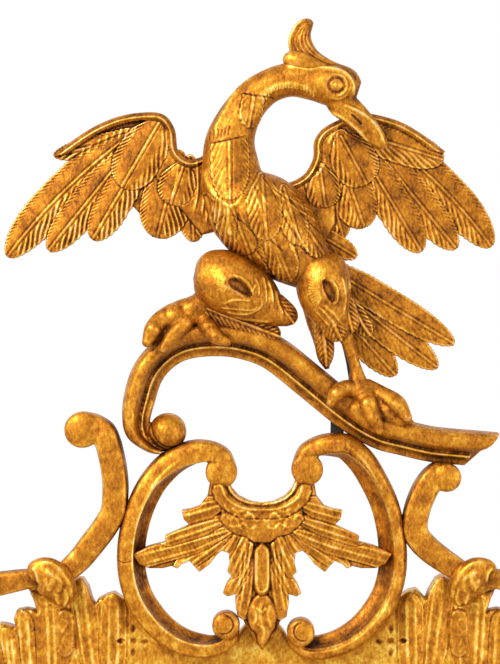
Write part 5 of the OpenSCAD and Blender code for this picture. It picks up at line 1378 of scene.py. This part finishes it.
left_half = [(-x, z) for x, z in PANEL_INNER + LEFT_TOPS + PANEL_OUTER]
right_half = PANEL_INNER + RIGHT_TOPS + PANEL_OUTER
outline = on_crest([(-300, -20)] + left_half[::-1] + PANEL_MIDDLE + right_half + [(300, -20)])
ground = plate_form(outline, FACE_D - 3, edge=4, tint=0.8)
forms = [ground]
for side in (-1, 1):
    for root, tip, width, lines in PANEL_LOBES:
        root, tip = seen(turned(side, [root, tip]), FACE_D)
        lobe = lobe_form(root, tip, width, FACE_D - 3.5, lines, camber=3.0, ridge=1.5, tint=0.3)
        forms.append(within_form(lobe, ground))
    forms.append(plate_form(smooth(seen(turned(side, OVAL), FACE_D), 3), FACE_D + 1.5, edge=3))
    forms += [pit_form(seen(turned(side, petal), FACE_D), 0.9, -0.5, FACE_D - 3) for petal in PETALS]
relief_board(panel, forms, BACK_D, ((-306, 786), (306, 900)), cell=1.1)
SCRIBBLES = [[(62, 618), (67, 624), (61, 633)], [(68, 632), (63, 641), (68, 649)], [(60, 645), (64, 652)],
             [(44, 606), (50, 603), (56, 607)], [(76, 652), (79, 650), (77, 655)],
             [(40, 598), (48, 594), (56, 597)], [(38, 606), (40, 612), (36, 618)]]
chisel(panel, ("ridge", 1.0, 1.0, 0.9, FACE_D, both_sides([OVAL])),
       ("ridge", 0.9, 0.5, 0.6, FACE_D, both_sides(SCRIBBLES)))
finish(panel, "crest_panel")

# %% [markdown]
# ## Camera, light and surroundings
# The photographic view looks straight at the middle of the crest from about 2.4 m. A large soft lamp stands
# at the upper left and a weaker one at the right. The world is white to the camera and in reflections, and
# gives a plain soft fill to everything else.

# %% Camera
VIEW_HIGH = 597.6  # mm of the mirror that the view shows, at its depth VIEW_D
camera_data = bpy.data.cameras.new("front_camera")
camera_data.sensor_fit = "VERTICAL"
camera_data.angle = 2 * math.atan(VIEW_HIGH / 2 / VIEW_FAR)
camera = bpy.data.objects.new("front_camera", camera_data)
camera.location = metres(VIEW_X, VIEW_Z, VIEW_D + VIEW_FAR)
camera.rotation_euler = (math.radians(90), 0, 0)
bpy.context.scene.collection.objects.link(camera)
bpy.context.scene.camera = camera
print("camera", round(VIEW_FAR / 1000, 2), "m from the crest, which fills", VIEW_HIGH, "mm of its view")


# %% Lamps and world
def soft_lamp(name, place, aim, size, power, hex_colour):
    data = bpy.data.lights.new(name, "AREA")
    data.size = size
    data.energy = power
    data.color = linear(hex_colour)[:3]
    lamp = bpy.data.objects.new(name, data)
    lamp.location = place
    lamp.rotation_euler = (Vector(aim) - Vector(place)).to_track_quat("-Z", "Y").to_euler()
    bpy.context.scene.collection.objects.link(lamp)


soft_lamp("key_lamp", (-1.5, -2.0, 2.3), (0, 0, 1.0), 0.9, 60, "#FFF4E4")
soft_lamp("fill_lamp", (1.9, -1.8, 1.0), (0, 0, 1.0), 1.4, 14, "#FFFFFF")
world = bpy.data.worlds.new("studio")
world.use_nodes = True
bpy.context.scene.world = world
sky = world.node_tree
rays = add(sky, "ShaderNodeLightPath").outputs
seen_by = rays["Is Camera Ray"]
for ray in ("Is Glossy Ray", "Is Transmission Ray"):
    seen_by = add(sky, "ShaderNodeMath", {"operation": "MAXIMUM"}, i0=seen_by, i1=rays[ray]).outputs[0]
glow = sky.nodes["Background"]
glow.inputs["Color"].default_value = (1, 1, 1, 1)
strength = add(sky, "ShaderNodeMapRange", {3: 0.55, 4: 1.0}, Value=seen_by)
sky.links.new(strength.outputs[0], glow.inputs["Strength"])
print("two soft lamps and a pale world light the mirror")

# %% [markdown]
# A plain pale floor catches the shadow, 2 mm under the mirror.

# %% Floor
floor_net = bmesh.new()
bmesh.ops.create_grid(floor_net, x_segments=1, y_segments=1, size=3.0)
bmesh.ops.translate(floor_net, vec=(0, 0, -0.002), verts=floor_net.verts)
floor_mesh = bpy.data.meshes.new("floor")
floor_net.to_mesh(floor_mesh)
floor_net.free()
floor = bpy.data.objects.new("floor", floor_mesh)
bpy.context.scene.collection.objects.link(floor)
plaster = bpy.data.materials.new("pale_plaster")
plaster.use_nodes = True
plaster.node_tree.nodes["Principled BSDF"].inputs["Base Color"].default_value = linear("#F4F3F0")
plaster.node_tree.nodes["Principled BSDF"].inputs["Roughness"].default_value = 0.9
floor.data.materials.append(plaster)
bpy.context.scene.view_settings.view_transform = "Standard"
print("floor laid, colours shown as they are written")

# %% [markdown]
# ## The plain parts
# Everything behind the carving keeps its CAD form. The carcass is pine, gilded only on the front and washed
# with thin ochre everywhere else. The plate is silvered glass. Straps, rings and wall plates are brass, the
# other fixings are iron, and the pads are felt.

# %% Patterned finishes
def plain(name, metallic=0.0, roughness=0.5):
    material = bpy.data.materials.new(name)
    material.use_nodes = True
    shader = material.node_tree.nodes["Principled BSDF"]
    shader.inputs["Metallic"].default_value = metallic
    shader.inputs["Roughness"].default_value = roughness
    return material, material.node_tree, shader


def pattern(tree, shader, scale, stretch, stops, bump):
    """Colours and roughens a finish with one noise of scale waves in a metre, stretched along X, Y and Z."""
    place = add(tree, "ShaderNodeTexCoord").outputs["Object"]
    stretched = add(tree, "ShaderNodeMapping", {"Scale": stretch}, Vector=place).outputs[0]
    noise = add(tree, "ShaderNodeTexNoise", {"Scale": scale, "Detail": 4.0, "Roughness": 0.6},
                Vector=stretched).outputs["Fac"]
    colour = add(tree, "ShaderNodeValToRGB", None, stops, Fac=noise).outputs["Color"]
    tree.links.new(colour, shader.inputs["Base Color"])
    rise = add(tree, "ShaderNodeBump", {"Strength": 0.4, "Distance": bump}, Height=noise)
    tree.links.new(rise.outputs["Normal"], shader.inputs["Normal"])
    return place, colour


# %% [markdown]
# Pine is pale, dull and striped along its length by the grain. The carcass is seen from the front only at
# its edges, where it is gilded with the carving, so the colour changes to leaf in the outermost 1.5 mm of
# its depth.

# %% Pine
PINE_GRAIN = 60.0  # waves in a metre: a stripe in 17 mm across the grain, and one in 280 mm along it
GOLD_STOPS = [(0.3, "#8A520E"), (0.45, "#B47A1E"), (0.6, "#CF9A38"), (0.75, "#E3B85A")]
OCHRE = [(0.25, "#8A6A38"), (0.5, "#A98850"), (0.75, "#BC9C62")]
BARE = [(0.25, "#7A5C3A"), (0.5, "#977650"), (0.75, "#AD8C64")]


def pine(name, stretch, stops, gilded_front):
    material, tree, shader = plain(name, roughness=0.75)
    place, wood = pattern(tree, shader, PINE_GRAIN, stretch, stops, 0.0004)
    if gilded_front:
        depth = add(tree, "ShaderNodeSeparateXYZ", Vector=place).outputs["Y"]
        edge = add(tree, "ShaderNodeMapRange", {1: -0.0325, 2: -0.0320, 3: 1.0, 4: 0.0}, Value=depth)
        front = edge.outputs[0]
        patches = add(tree, "ShaderNodeTexNoise", {"Scale": 90.0, "Detail": 6.0, "Roughness": 0.7},
                      Vector=place)
        gold = add(tree, "ShaderNodeValToRGB", None, GOLD_STOPS, Fac=patches.outputs["Fac"])
        colour = add(tree, "ShaderNodeMix", {"data_type": "RGBA"}, i0=front, i6=wood,
                     i7=gold.outputs["Color"])
        shine = add(tree, "ShaderNodeMath", {"operation": "MULTIPLY", 1: 0.7}, i0=front)
        rough = add(tree, "ShaderNodeMapRange", {3: 0.75, 4: 0.38}, Value=front)
        for socket, source in (("Base Color", colour.outputs[2]), ("Metallic", shine.outputs[0]),
                               ("Roughness", rough.outputs[0])):
            tree.links.new(source, shader.inputs[socket])
    return material


RAIL_PINE = pine("ochre_washed_pine_rails", (0.06, 1, 1), OCHRE, True)
STILE_PINE = pine("ochre_washed_pine_stiles", (1, 1, 0.06), OCHRE, True)
BOARD_PINE = pine("bare_pine_boards", (0.05, 1, 1), BARE, False)
print("made", RAIL_PINE.name, STILE_PINE.name, BOARD_PINE.name)

# %% [markdown]
# The plate is float glass silvered at the back: a nearly perfect mirror with a cool tint. The irons are
# forged and blackened, half dull with a little rust. The brass has lost its polish, and the felt is soft
# brown without shine.

# %% Glass, metals and felt
PLATE, _, plate_shader = plain("silvered_glass", metallic=1.0, roughness=0.03)
plate_shader.inputs["Base Color"].default_value = linear("#E6E9E8")
fittings = []
# The waves in a metre give 2 mm forge scale, 3 mm tarnish and 0.7 mm fibres
for name, metallic, roughness, waves, stops, bump in (
        ("blackened_iron", 0.9, 0.55, 500.0, [(0.3, "#2E2A27"), (0.6, "#4A4440"), (0.8, "#6A4630")], 0.0002),
        ("dull_brass", 1.0, 0.35, 300.0, [(0.3, "#8C6A2C"), (0.6, "#B08D42"), (0.8, "#C4A25A")], 0.0001),
        ("brown_felt", 0.0, 1.0, 1500.0, [(0.3, "#3C3228"), (0.7, "#5A4C3E")], 0.0006)):
    material, tree, shader = plain(name, metallic, roughness)
    pattern(tree, shader, waves, (1, 1, 1), stops, bump)
    fittings.append(material)
IRON, BRASS, FELT = fittings
FINISHES = {  # by a word of the CAD node's name; the longest word that fits wins
    "rail": RAIL_PINE, "stile": STILE_PINE, "backboards": BOARD_PINE, "glass_blocks": BOARD_PINE,
    "battens": BOARD_PINE, "mirror_plate": PLATE, "sight_moulding": MOULDING_GILDING, "pads": FELT,
    "irons": IRON, "stay": IRON, "backboard_screws": IRON, "batten_screws": IRON, "joint_screws": IRON,
    "hanger": BRASS, "wall_plate": BRASS}

# %% Give the remaining CAD nodes their finish
for name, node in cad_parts.items():
    words = [word for word in FINISHES if word in name]
    material = FINISHES[max(words, key=len)] if words else GILDING
    for slot_number in range(len(node.data.materials)):
        node.data.materials[slot_number] = material
print("gave", len(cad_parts), "CAD nodes their finish")
